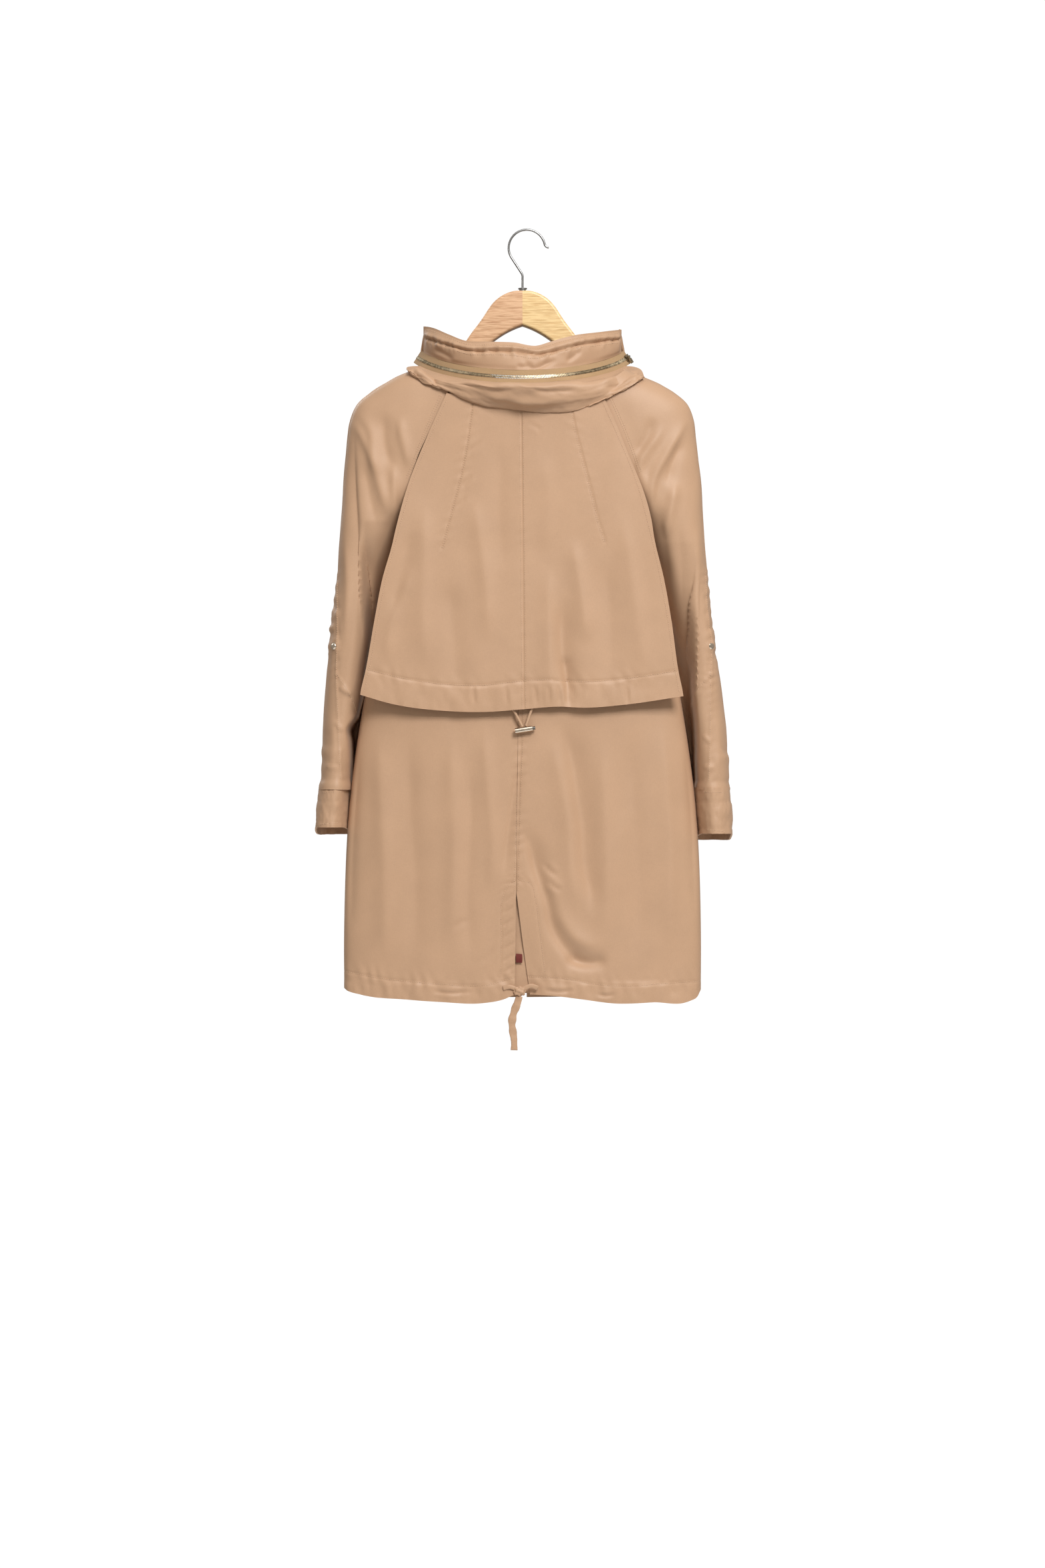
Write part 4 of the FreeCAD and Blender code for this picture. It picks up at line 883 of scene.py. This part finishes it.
def collar_back():
    """Gathered back of the collar above its zip, with the drawcord channel."""
    half = math.radians(66)
    angle = half * spaced(-1, 1, 0.0125)[None, :]
    up = spaced(0, 1, 0.045)[:, None]
    angle = angle + 0 * up
    share = np.sin(angle) / math.sin(half)
    x_top = 143 * share
    top = np.stack([x_top, -48 + 73 * np.abs(share) ** 3, COLLAR_TOP(x_top)], -1)
    bottom = zip_point(angle, 10.6, 0.6)
    grid = bottom + (top - bottom) * up[..., None]
    way = angle * ZIP_RADIUS
    channel = 0.62 + 0.05 * noise(way, 0 * way, 34, 106)
    height = 1.3 * noise(way, up * 46, 24, 101, 0.35, 2.4) + 3.2 * np.sin(up * math.pi) ** 0.8
    height -= 3.4 * np.exp(-((up - channel) / 0.05) ** 2)
    height += 2.0 * np.exp(-((up - channel - 0.14) / 0.07) ** 2) - 1.0 * np.exp(-((up - 0.93) / 0.03) ** 2)
    gathers = noise(way, up * 30, 7, 102, 1.5, 2.4) + 0.7 * noise(way, up * 30, 4, 105, 1.3, 2.0)
    height += 2.0 * gathers * np.exp(-((up - channel) / 0.17) ** 2)
    x, z = grid[..., 0], grid[..., 2]
    height += folds(x, z, COLLAR_FOLDS, 0.3)
    ends = step(1 - np.abs(share), 0, 0.05)
    grid = raised(grid, height * step(up, -0.02, 0.16) * ends, 1)
    made = cloth("collar_back_cloth", grid, shell, thick=2.0)
    return declare(made, "coat", ("collar_back", "collar_drawcord"), flat=(0.36, 0.05),
                   held="gathered", rests_on=["left_back"])


def collar_front(side):
    across = spaced(0, 1, 0.018)[None, :]
    up = spaced(0, 1, 0.045)[:, None]
    turn = math.pi / 2 * across
    inwards = 1 - np.cos(turn)
    bottom = np.stack([153 - 147 * inwards, 42 + 12 * np.sin(turn), -203 - 98 * inwards], -1)
    top = np.stack([141 - 135 * inwards, 30 + 24 * np.sin(turn), -138 - 90 * inwards], -1)
    grid = bottom + (top - bottom) * up[..., None]
    grid[..., 0] *= side
    height = 1.6 * noise(across * 180 + 0 * up, up * 60, 18, 111 + side, 1.2, 2.0)
    height += 0.8 * noise(across * 180 + 0 * up, up * 60, 8, 114 + side, 1.5, 1.6)
    height += 2.0 * np.sin(up * math.pi)
    height -= 0.9 * np.exp(-((up - 0.92) / 0.03) ** 2)
    ends = step(across, 0, 0.08) * step(1 - across, 0, 0.08)
    grid = raised(grid, height * ends, side)
    made = cloth(f"collar_{SIDES[side]}_front_cloth", grid, shell, thick=2.0, out=side)
    return declare(made, "coat", (f"collar_{SIDES[side]}_front",), flat=(0.2, 0.07), held="hung",
                   rests_on=["collar_back_cloth"])


POUCH_FOLDS = [
    ([(150, -190), (128, -205), (100, -216), (70, -222)], 5, 6, -4.5),
    ([(165, -205), (140, -222), (112, -236)], 5, 6, -4.0),
    ([(158, -196), (136, -212), (108, -226)], 4, 5, 3.5),
    ([(-156, -190), (-148, -203), (-136, -216), (-118, -226)], 5, 5, -5.0),
    ([(-150, -206), (-140, -222), (-126, -234)], 4, 5, 3.0),
    ([(-104, -222), (-60, -236), (-14, -240)], 5, 6, -3.2),
    ([(10, -238), (48, -240), (86, -234)], 5, 6, -3.4),
    ([(-80, -232), (-30, -248), (30, -252), (70, -246)], 6, 5, 3.0),
    ([(-10, -226), (20, -229), (50, -228)], 3, 4, -2.0),
]


def hood_pouch():
    """Pouch with the folded hood: it bulges below the zip and curls under along its lower edge."""
    t = spaced(-1, 1, 0.0135)[None, :]
    v = np.r_[spaced(0, 1, 0.030), 1 + spaced(0, 1, 0.14)[1:]][:, None]
    reach = math.radians(80)
    side = np.sin(t * reach) / math.sin(reach)
    x = np.where(t < 0, 163 * side, 174 * side) + 0 * v
    low_z = curve((-163, -205), (-145, -218), (-117, -232), (-83, -245), (-48, -256), (-2, -263),
                  (44, -266.5), (79, -263), (113, -250), (147, -232), (174, -214))(x)
    level = (1 - np.cos(t * reach)) / (1 - math.cos(reach))
    lower = np.stack([x, -62 + 24 * level ** 1.4 + 0 * v, low_z], -1)
    upper = zip_point(math.radians(62) * t, -8.6, 0.5) + np.zeros(lower.shape)
    face = np.clip(v, 0, 1)[..., None]
    out = np.stack([np.sin(t * reach), -np.cos(t * reach), 0 * t], -1) + np.zeros(lower.shape)
    bulge = (27 - 13 * np.abs(t)) * np.sin(np.clip(v, 0, 1) ** 0.5 * math.pi)
    grid = upper + (lower - upper) * face + out * bulge[..., None]
    under = np.clip(v - 1, 0, 1)[..., None]
    grid = grid - out * under * 13 + np.array([0, 0, 1.0]) * (under * 5 - 5 * under * (1 - under))
    way, down = 190 * t + 0 * v, v * 55
    height = 2.4 * noise(way, down, 21, 121, 0.12, 2.4) + 1.3 * noise(way, down, 10, 122, -0.1, 2.4)
    height += 2.4 * (0.45 - np.abs(noise(way, down, 16, 123, 0.2, 2.8)))
    height += 0.4 * noise(way, down, 5, 124, 0.3, 1.6)
    px, pz = grid[..., 0], grid[..., 2]
    height += folds(px, pz, POUCH_FOLDS, 0.3)
    ends = step(1 - np.abs(t), 0, 0.12)
    grid = raised(grid, -height * step(v, -0.02, 0.12) * step(2.1 - v, 0, 0.6) * ends, 1)
    made = cloth("hood_pouch_cloth", grid, shell, out=-1)
    return declare(made, "coat", ("hood_pouch",), flat=(0.38, 0.08), held="folded",
                   rests_on=["storm_cape"])


def folded_hood():
    """The hood, folded flat and rolled inside its pouch: an oval section swept along the zip's circle."""
    half_sweep, drop, set_out = 27, 22.5, 15.5
    half_thick, half_high = 4.2, 8.6
    angle = np.radians(spaced(-half_sweep, half_sweep, 1.2))[:, None]
    turn = np.radians(spaced(0, FULL_TURN, 12)[:-1])[None, :]
    size = 1 + 0.05 * np.sin(turn * 5) * np.cos(angle * 9)
    radius = ZIP_RADIUS + set_out + half_thick * np.cos(turn) * size
    height = -drop + half_high * np.sin(turn) * size
    made = capped_tube("folded_hood_roll", tilted(radius, height, angle), shell)
    declare(made, "coat", ("folded_hood",), "hood_cloth")
    return made


def tooth_shape():
    """One zip tooth about its own centre: along the chain, across it, through it."""
    work = bmesh.new()
    bmesh.ops.create_cube(work, size=1.0)
    bmesh.ops.scale(work, vec=(1.25, 3.2, 2.3), verts=work.verts)
    bmesh.ops.bevel(work, geom=work.edges[:], offset=0.32, segments=1, affect="EDGES")
    points = np.array([v.co for v in work.verts])
    faces = [[v.index for v in f.verts] for f in work.faces]
    work.free()
    return points, faces


def teeth(name, places, body, node_name):
    """Interlocked zip teeth; each place is (centre, along, across, through) in millimetres."""
    shape, quads = tooth_shape()
    points, faces = [], []
    for centre, along, across, through in places:
        first = len(points)
        points += list(centre + shape @ np.array([along, across, through]))
        faces += [[first + i for i in quad] for quad in quads]
    made = mesh_object(name, np.array(points), faces, gold, smooth=False)
    return declare(made, body, (node_name,), "zip_metal")


def collar_zip():
    half = math.radians(70)
    places = []
    count = int(2 * half * ZIP_RADIUS / 1.15)
    for k in range(count):
        angle = half * (2 * (k + 0.5) / count - 1)
        offset = 0.95 if k % 2 else -0.95
        centre = zip_point(angle, offset)
        along = zip_point(angle + 1e-4, offset) - centre
        across = zip_point(angle, offset + 1) - centre
        through = zip_point(angle, offset, 1) - centre
        places.append((centre, along / np.linalg.norm(along), across, through))
    teeth("collar_zip_chain", places, "coat", "collar_zip_teeth")
    for name, low, high, wave in (("upper", 2.5, 11.4, 0.5), ("lower", -9.6, -2.5, 0.7)):
        angle = half * spaced(-1, 1, 0.012)[None, :]
        across = spaced(low, high, 1.1)[:, None]
        away = (across - 2.5) / 9 if name == "upper" else (-2.5 - across) / 7
        out = wave * noise(angle * ZIP_RADIUS + 0 * across, across, 14, 131) * np.clip(away, 0, 1)
        grid = zip_point(angle + 0 * across, across + 0 * angle, out + 0.3)
        made = cloth(f"collar_zip_{name}_band", grid, tape, thick=0.8)
        declare(made, "coat", (f"collar_zip_{name}_tape",), "zip_tape", flat=(0.4, 0.011),
                held="stretched", rests_on=["collar_back_cloth"])


# ---------------------------------------------------------------- front
FRONT_HEM = curve((0, -1104), (90, -1103), (200, -1101), (256, -1087))


def front_panel(side):
    columns = spaced(0, 1, 0.0125)
    rows = spaced(HEM, -303, 4.0)
    grid = body_grid(side, FRONT, lambda z: side * 6.0 + 0 * z, columns, rows,
                     lambda x: FRONT_HEM(np.abs(x)))
    neck_line = -300 + 0.667 * (np.abs(grid[..., 0]) - 6)
    grid[..., 2] += step(rows, -560, -303)[:, None] * (neck_line + 303)
    x, z = grid[..., 0], grid[..., 2]
    under_sleeve = step(np.abs(x) + 0.48 * (z + 236), 108, 116) * step(z, -312, -296)
    grid[..., 1] -= 5 * under_sleeve
    seed = 141 if side == LEFT else 151
    height = wrinkles(x, z, 0.8, seed, turn=1.45)
    for k in range(6):
        start = side * (40 + 36 * k)
        lean = 10 * noise(np.array([float(k)]), np.zeros(1), 1.7, seed + 3)[0]
        line = [(start * 0.75, -420 - 30 * k), (start, -620), (start + lean, -860), (start + 1.6 * lean,
                                                                                     -1080)]
        height += fold(x, z, line, 14, 16, 3.0 if k % 2 else -3.0)
    height += seam(x, z, [(side * 20, -310), (side * 20, -700), (side * 20, -1080)], 0.7, 0.4, 8, 15, 0.2,
                   seed)
    height += seam(x, z, [(side * 6, -1078), (side * 130, -1079), (side * 256, -1066)], 0.8, 0.9, 12, 16,
                   0.4, seed + 1)
    calm = step(BODY_WIDTH(z) - np.abs(x), 0, 10) * step(np.abs(x), 6, 16)
    pocket = step(np.abs(x), 50, 64) * step(184 - np.abs(x), 0, 12) * step(-z, 660, 690) * step(z, -900,
                                                                                                -884)
    grid = raised(grid, height * (0.12 + 0.88 * calm) * (1 - 0.75 * pocket), -side)
    made = cloth(f"{SIDES[side]}_front", grid, shell, out=-side)
    return declare(made, "coat", (f"front_{SIDES[side]}_panel",), flat=(0.32, 0.86), held="hung",
                   rests_on=[f"hanger_{SIDES[side]}_arm"], area=0.24)


def pocket(side):
    """Patch pocket: a second layer on the front panel with rounded lower corners."""
    across, up = spaced(-1, 1, 0.045)[None, :], spaced(0, 1, 0.035)[:, None]
    z = -884 + 190 * up + 0 * across
    narrow = 1 - 0.22 * np.clip(1 - up / 0.12, 0, 1) ** 2
    mid = 115 + 51 * across * narrow
    width = BODY_WIDTH(z)
    angle = np.arcsin(mid / width)
    y = 54 * np.cos(angle)
    grid = np.stack([side * mid + 0 * z, y, z], 2)
    border = np.minimum(1 - np.abs(across), np.minimum(up, 1.2 - up) * 1.6)
    height = 1.4 + 3.2 * step(border, 0.0, 0.35) + 0.8 * noise(mid + 0 * z, z, 20, 161 + side, 1.0, 2.0)
    grid = raised(grid, height, -side)
    made = cloth(f"{SIDES[side]}_pocket", grid, shell, out=-side)
    return declare(made, "coat", ("pocket_bags",), flat=(0.105, 0.19), held="hung",
                   rests_on=[f"{SIDES[side]}_front"])


def pocket_flap(side):
    across, down = spaced(-1, 1, 0.045)[None, :], spaced(0, 1, 0.06)[:, None]
    narrow = 1 - 0.12 * np.clip((down - 0.72) / 0.28, 0, 1) ** 2.5
    local_x = 56 * across * narrow
    drop = 52 * down - 3 * down * np.abs(across) ** 6
    bulge = 1.6 * np.sin(np.clip(down, 0, 1) * math.pi) * (1 - np.abs(across) ** 4)
    bulge += 0.5 * noise(local_x + 0 * down, drop, 14, 171 + side, 0.4, 1.6)
    turn = math.radians(-side * 8.1)
    local_y = 2.2 + bulge
    x = side * 115 + local_x * math.cos(turn) - local_y * math.sin(turn)
    y = 52.5 + local_x * math.sin(turn) + local_y * math.cos(turn)
    grid = np.stack([x, y, -690 - drop], 2)
    made = cloth(f"{SIDES[side]}_pocket_cover", grid, shell, thick=2.0)
    return declare(made, f"{SIDES[side]}_flap", (f"{SIDES[side]}_pocket_flap",), flat=(0.112, 0.052),
                   held="hung", rests_on=[f"{SIDES[side]}_pocket"])


def front_zip():
    places = []
    count = int(810 / 1.15)
    for k in range(count):
        z = -1050 + 810 * (k + 0.5) / count
        offset = 0.95 if k % 2 else -0.95
        centre = np.array([offset, 53.4, z])
        places.append((centre, np.array([0, 0, 1.0]), np.array([1.0, 0, 0]), np.array([0, 1.0, 0])))
    teeth("front_zip_chain", places, "coat", "front_zip_teeth")
    for side in (LEFT, RIGHT):
        across, up = spaced(2.6, 14.4, 1.6)[None, :], spaced(-1050, -240, 5)[:, None]
        y = 51.6 + 0.25 * noise(across + 0 * up, up, 12, 181 + side) + 0 * up
        grid = np.stack([side * across + 0 * up, y, up + 0 * across], 2)
        made = cloth(f"front_zip_{SIDES[side]}_band", grid, tape, thick=0.8, out=-side)
        declare(made, "coat", ("front_zip_tapes",), "zip_tape", flat=(0.012, 0.81), held="stretched",
                rests_on=[f"{SIDES[side]}_front"])


# ---------------------------------------------------------------- vent, cords and trim
def vent_facing():
    """Self-cloth facing behind the open vent."""
    across, up = spaced(-34, 36, 1.8)[None, :], spaced(-1093, -936, 2.5)[:, None]
    y = -48.5 + 0.0005 * across ** 2 + 0.5 * noise(across + 0 * up, up, 12, 191, 1.3, 2) + 0 * up
    grid = np.stack([across + 0 * up, y, up + 0 * across], 2)
    made = cloth("vent_facing", grid, shell)
    declare(made, "coat", (), flat=(0.07, 0.157), held="hung", rests_on=["left_back"])


def red_tab():
    """Small folded tab sewn into the vent."""
    across, down = spaced(0, 1, 0.12)[None, :], spaced(0, 1, 0.1)[:, None]
    x = -9.5 + 9 * across + 0.3 * np.sin(down * 3)
    y = -51.2 - 1.3 * np.sin(down * math.pi) + 0 * across
    grid = np.stack([x, y, -1037 - 12 * down - 0.6 * across], 2)
    made = cloth("vent_tab_cloth", grid, red, thick=0.9)
    declare(made, "coat", ("vent_tab",), "red_tab", flat=(0.01, 0.013), held="folded",
            rests_on=["vent_facing"])


def cord_curve(name, points, radius):
    """A cord on one smooth curve, with the points as its control points."""
    data = bpy.data.curves.new(name, "CURVE")
    data.dimensions = "3D"
    line = data.splines.new("NURBS")
    line.points.add(len(points) - 1)
    for point, (x, y, z) in zip(line.points, points):
        point.co = ((x + CENTRE) * MM, y * MM, z * MM, 1)
    line.order_u = 3
    line.use_endpoint_u = True
    data.resolution_u = 12
    data.bevel_depth = radius * MM
    data.bevel_resolution = 5
    data.use_fill_caps = True
    obj = bpy.data.objects.new(name, data)
    bpy.context.scene.collection.objects.link(obj)
    return obj


WAIST_ROUTES = {
    LEFT: [(-38, -55, -642), (-38, -58.4, -644.6), (-29.7, -60.6, -659), (-21.1, -60.4, -678),
           (-8.8, -60, -696), (-0.3, -60.5, -713.2)],
    RIGHT: [(27, -55, -642), (27, -58.4, -644.6), (22.1, -60.6, -659), (17.4, -60.4, -678),
            (10.1, -60, -696), (4.9, -60.5, -712.4)],
}
TIE_ROUTE = [(-4.5, -57, -1097), (-7, -57.5, -1107), (-13, -58, -1121), (-15.5, -58, -1135),
             (-13.5, -57.5, -1149), (-11.5, -57, -1162), (-12, -57, -1174)]
STRAND_ROUTES = {
    "left": [(-5, -58, -1090), (-12, -58, -1085), (-20, -57.5, -1083), (-28, -56.5, -1086)],
    "right": [(-2, -58, -1089), (7, -58, -1083), (15, -57.5, -1082), (22, -56.5, -1086)],
}


def waist_cords():
    for side, length in ((LEFT, 0.0826), (RIGHT, 0.0756)):
        made = cord_curve(f"waist_cord_{SIDES[side]}_braid", WAIST_ROUTES[side], 1.8)
        made.data.materials.append(cord_braid)
        declare(made, "coat", (f"waist_cord_{SIDES[side]}",), "cord_braid")


def route_line(points, count):
    """Evenly spaced points on the smooth curve that a route controls."""
    guide = cord_curve("guide", points, 0)
    guide.data.use_fill_caps = False
    mesh = bpy.data.meshes.new_from_object(guide)
    line = np.array([v.co for v in mesh.vertices]) / MM - np.array([CENTRE, 0, 0])
    bpy.data.objects.remove(guide)
    bpy.data.meshes.remove(mesh)
    way = np.r_[0, np.cumsum(np.linalg.norm(np.diff(line, axis=0), axis=1))]
    at = np.linspace(0, way[-1], count)
    return np.stack([np.interp(at, way, line[:, k]) for k in range(3)], 1)


def ribbon(name, line, width, thick, seed, material, twist=0.3):
    """A crinkled flat tie along a line: a lens-shaped section that swells, narrows and turns a little."""
    heading = np.gradient(line, axis=0)
    heading /= np.linalg.norm(heading, axis=1, keepdims=True)
    across = np.cross(heading, [0, 1.0, 0])
    across /= np.linalg.norm(across, axis=1, keepdims=True)
    through = np.cross(heading, across)
    count = len(line)
    at = np.arange(count) * 1.0
    turn = twist * noise(at, 0 * at, 9, seed)
    wide = width * (1 + 0.16 * noise(at, 0 * at, 5, seed + 1))
    deep = thick * (1 + 0.35 * noise(at, 0 * at, 4, seed + 2))
    points, faces = [], []
    sides = 16
    for i in range(count):
        a = across[i] * math.cos(turn[i]) + through[i] * math.sin(turn[i])
        b = through[i] * math.cos(turn[i]) - across[i] * math.sin(turn[i])
        for k in range(sides):
            angle = 2 * math.pi * k / sides
            u, v = math.cos(angle), math.sin(angle)
            crinkle = 0.3 * math.sin(2.1 * i + 1.3 * k) * thick * 0.35
            points.append(line[i] + a * (abs(u) ** 0.8 * math.copysign(wide[i] / 2, u))
                          + b * (v * deep[i] / 2 + crinkle * (1 - abs(v) * 0.3)))
    for i in range(count - 1):
        for k in range(sides):
            p, q = i * sides + k, i * sides + (k + 1) % sides
            faces.append((p, q, q + sides, p + sides))
    faces += [tuple(range(sides - 1, -1, -1)), tuple(range((count - 1) * sides, count * sides))]
    return mesh_object(name, points, faces, material)


def tie_knot():
    """The lumpy knot of the hem tie."""
    turn = np.radians(spaced(0, FULL_TURN, 9)[:-1])[None, :]
    rise = np.radians(spaced(-88, 88, 8))[:, None]
    lump = 1 + 0.14 * np.sin(3 * turn + 5 * rise) + 0.10 * np.sin(5 * turn - 3 * rise)
    grid = np.stack([-4 + 8.2 * np.cos(rise) * np.cos(turn) * lump,
                     -58.6 + 3.6 * np.cos(rise) * np.sin(turn) * lump,
                     -1090 + 6.2 * np.sin(rise) * lump], 2)
    declare(capped_tube("hem_tie_knot_cloth", grid, shell), "coat", ("hem_tie_knot",))


def hem_tie():
    """Tie knotted at the vent's foot: it hangs free, and two short strands run back to the hem."""
    line = route_line(TIE_ROUTE, 46)
    tie = ribbon("hem_tie_strap", line, 10.6, 2.6, 201, shell)
    declare(tie, "coat", ("hem_tie",))
    for name, route in STRAND_ROUTES.items():
        made = ribbon(f"hem_tie_{name}_strand", route_line(route, 14), 7.0, 2.4, 211, shell, 0.4)
        declare(made, "coat", ())
    tie_knot()


def topstitch(name, rows, body, *under, face=BACK):
    """Rows of stitches as one piece on the cloth under them, riding the body given, if any."""
    made = stitched(f"{name}_stitches", tree_of(*under), rows, thread, face)
    return declare(made, body, ())


def place_stitches(objects):
    """Topstitching, each row on the cloth under it, and riding as that cloth does."""
    rows = [shifted(CAPE_SEAM, 2.6), shifted(CAPE_SEAM, -2.6), CAPE_HEM_STITCH, LEFT_DART, RIGHT_DART,
            shifted(LEFT_DART, 2.0), shifted(RIGHT_DART, -2.0)]
    levels = (-250, -300, -360, -432, -500, -560, -631, -664)
    rows += [[(side * (CAPE_EDGE[side](z) - 5), z) for z in levels] for side in (LEFT, RIGHT)]
    made = stitched("cape_stitches", tree_of(objects["cape"]), rows, thread)
    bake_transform(made)
    for side in (LEFT, RIGHT):
        name = SIDES[side]
        rows = [HEM_STITCH[side], FACING[side], [(x + side * 2.6, z) for x, z in SKIRT_SEAM if z < -480]]
        topstitch(f"{name}_back", rows, "coat", objects[f"{name}_back"])
        rows = [OUTER_SEAM[side], ELBOW_SEAM[side], RAGLAN_STITCH[side],
                shifted(RAGLAN_STITCH[side], 3.0)]
        made = stitched(f"{name}_sleeve_stitches", tree_of(objects[f"{name}_sleeve"]), rows, thread)
        blend_sleeve(made)
        low = -850 if side == LEFT else -860
        rows = [[(side * 258, -806), (side * 275, -807), (side * 287, -807)],
                [(side * 260, low), (side * 275, low - 1), (side * 290, low - 3)]]
        topstitch(f"{name}_cuff", rows, f"{name}_sleeve", objects[f"{name}_cuff"])
        rows = [[(side * x, z) for x, z in line] for line in FRONT_STITCH]
        topstitch(f"{name}_front", rows, "coat", objects[f"{name}_front"], objects[f"{name}_pocket"],
                  face=FRONT)
    xs = np.linspace(-138, 138, 24)
    rows = [[(x, float(COLLAR_TOP(x)) - drop) for x in xs] for drop in (5, 19)]
    topstitch("collar", rows, "coat", objects["collar"])


# Topstitching of the left front; the right one mirrors it. The last line goes round the pocket.
FRONT_STITCH = [[(20, -320), (20, -700), (20, -1090)],
                [(9, -312), (9, -700), (9, -1095)],
                [(8, -1078), (130, -1079), (240, -1068)],
                [(68, -700), (68, -860), (75, -880), (115, -881), (155, -880), (162, -860), (162, -700)]]


def dress_frame():
    """Materials for the CAD nodes that stay in view."""
    finishes = {
        "hanger_left_arm": beech, "hanger_right_arm": maple, "hanger_dowels": dowel,
        "hook_ferrule": steel, "hanger_hook": steel, "front_wind_flap": lining,
        "left_sleeve_snap": nickel, "right_sleeve_snap": nickel, "waist_cord_eyelets": nickel,
        "left_roll_tab": lining, "right_roll_tab": lining, "locker_loop": shell,
        "collar_zip_slider": gold, "collar_zip_puller": gold, "front_zip_stops": gold,
        "front_zip_slider": gold, "front_zip_puller": gold, "cord_lock_barrel": nickel,
        "cord_lock_plunger": dark_steel, "cord_lock_spring": dark_steel,
    }
    for name, material in finishes.items():
        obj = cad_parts[name]
        if not obj.material_slots:
            obj.data.materials.append(material)
        for slot in obj.material_slots:
            slot.material = material


def build():
    objects = {}
    for side in (LEFT, RIGHT):
        name = SIDES[side]
        objects[f"{name}_back"] = back_panel(side)
        objects[f"{name}_front"] = front_panel(side)
        objects[f"{name}_pocket"] = pocket(side)
        objects[f"{name}_sleeve"] = sleeve(side)
        objects[f"{name}_cuff"] = cuff(side)
        collar_front(side)
        pocket_flap(side)
    objects["cape"] = cape()
    objects["collar"] = collar_back()
    hood_pouch()
    folded_hood()
    collar_zip()
    front_zip()
    vent_facing()
    red_tab()
    waist_cords()
    hem_tie()
    place_stitches(objects)
    for side in (LEFT, RIGHT):
        blend_sleeve(objects[f"{SIDES[side]}_sleeve"])
    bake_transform(objects["cape"])
    dress_frame()


# ---------------------------------------------------------------- floor, light and camera
def pale_floor():
    """Plain floor well below the hem."""
    material, shader = new_material("pale_floor", roughness=0.8)
    tone = ramp(material, noise_node(material, 3, 3), (0.3, (246, 246, 246)), (0.7, (250, 250, 250)))
    link(material, tone, shader.inputs["Base Color"])
    mesh = bpy.data.meshes.new("floor")
    reach, level = 2.0, -2.35
    corners = [(-reach, -reach), (reach, -reach), (reach, reach), (-reach, reach)]
    mesh.from_pydata([(x, y, level) for x, y in corners], [], [(0, 1, 2, 3)])
    mesh.materials.append(material)
    floor = bpy.data.objects.new("floor", mesh)
    bpy.context.scene.collection.objects.link(floor)


def studio():
    """Soft light that is warm from below, behind a plain white backdrop."""
    world = bpy.data.worlds.new("studio")
    bpy.context.scene.world = world
    world.use_nodes = True
    back = world.node_tree.nodes["Background"]
    back.inputs["Strength"].default_value = 0.5
    parts = node(world, "ShaderNodeSeparateXYZ")
    height = node(world, "ShaderNodeMapRange", From_Min=-1.0)
    sky = node(world, "ShaderNodeMix")
    sky.data_type = "RGBA"
    sky.inputs[6].default_value = (0.42, 0.36, 0.30, 1)
    sky.inputs[7].default_value = (1.0, 0.96, 0.90, 1)
    link(world, node(world, "ShaderNodeTexCoord").outputs["Generated"], parts.inputs["Vector"])
    link(world, parts.outputs["Z"], height.inputs["Value"])
    link(world, height.outputs["Result"], sky.inputs[0])
    link(world, sky.outputs[2], back.inputs["Color"])
    white = node(world, "ShaderNodeBackground", Color=(1, 1, 1, 1), Strength=1.05)
    chosen = node(world, "ShaderNodeMixShader")
    link(world, node(world, "ShaderNodeLightPath").outputs["Is Camera Ray"], chosen.inputs[0])
    link(world, back.outputs[0], chosen.inputs[1])
    link(world, white.outputs[0], chosen.inputs[2])
    link(world, chosen.outputs[0], world.node_tree.nodes["World Output"].inputs["Surface"])


# Name, place and size in metres, and power in watts.
LAMPS = [("key", (2.0, -5.0, 3.4), 2.4, 430), ("top", (-0.6, -2.4, 2.8), 1.6, 18),
         ("rim", (-2.4, 3.4, 1.4), 2.0, 60)]


def stage():
    pale_floor()
    studio()
    scene = bpy.context.scene
    for name, place, size, power in LAMPS:
        light = bpy.data.lights.new(name, "AREA")
        light.size = size
        light.energy = power
        lamp = bpy.data.objects.new(name, light)
        lamp.location = place
        aim = Vector((0, 0, -0.6)) - Vector(place)
        lamp.rotation_euler = aim.to_track_quat("-Z", "Y").to_euler()
        scene.collection.objects.link(lamp)

    camera = bpy.data.cameras.new("camera")
    view = bpy.data.objects.new("camera", camera)
    distance, frame_height, middle = 6.0, 2.235, -0.795
    camera.sensor_width = 36
    camera.lens = camera.sensor_width * distance / frame_height
    view.location = (CENTRE * MM, -distance - 0.05, middle)
    view.rotation_euler = (math.radians(90), 0, 0)
    scene.collection.objects.link(view)
    scene.camera = view
    scene.view_settings.view_transform = "Standard"


build()
stage()
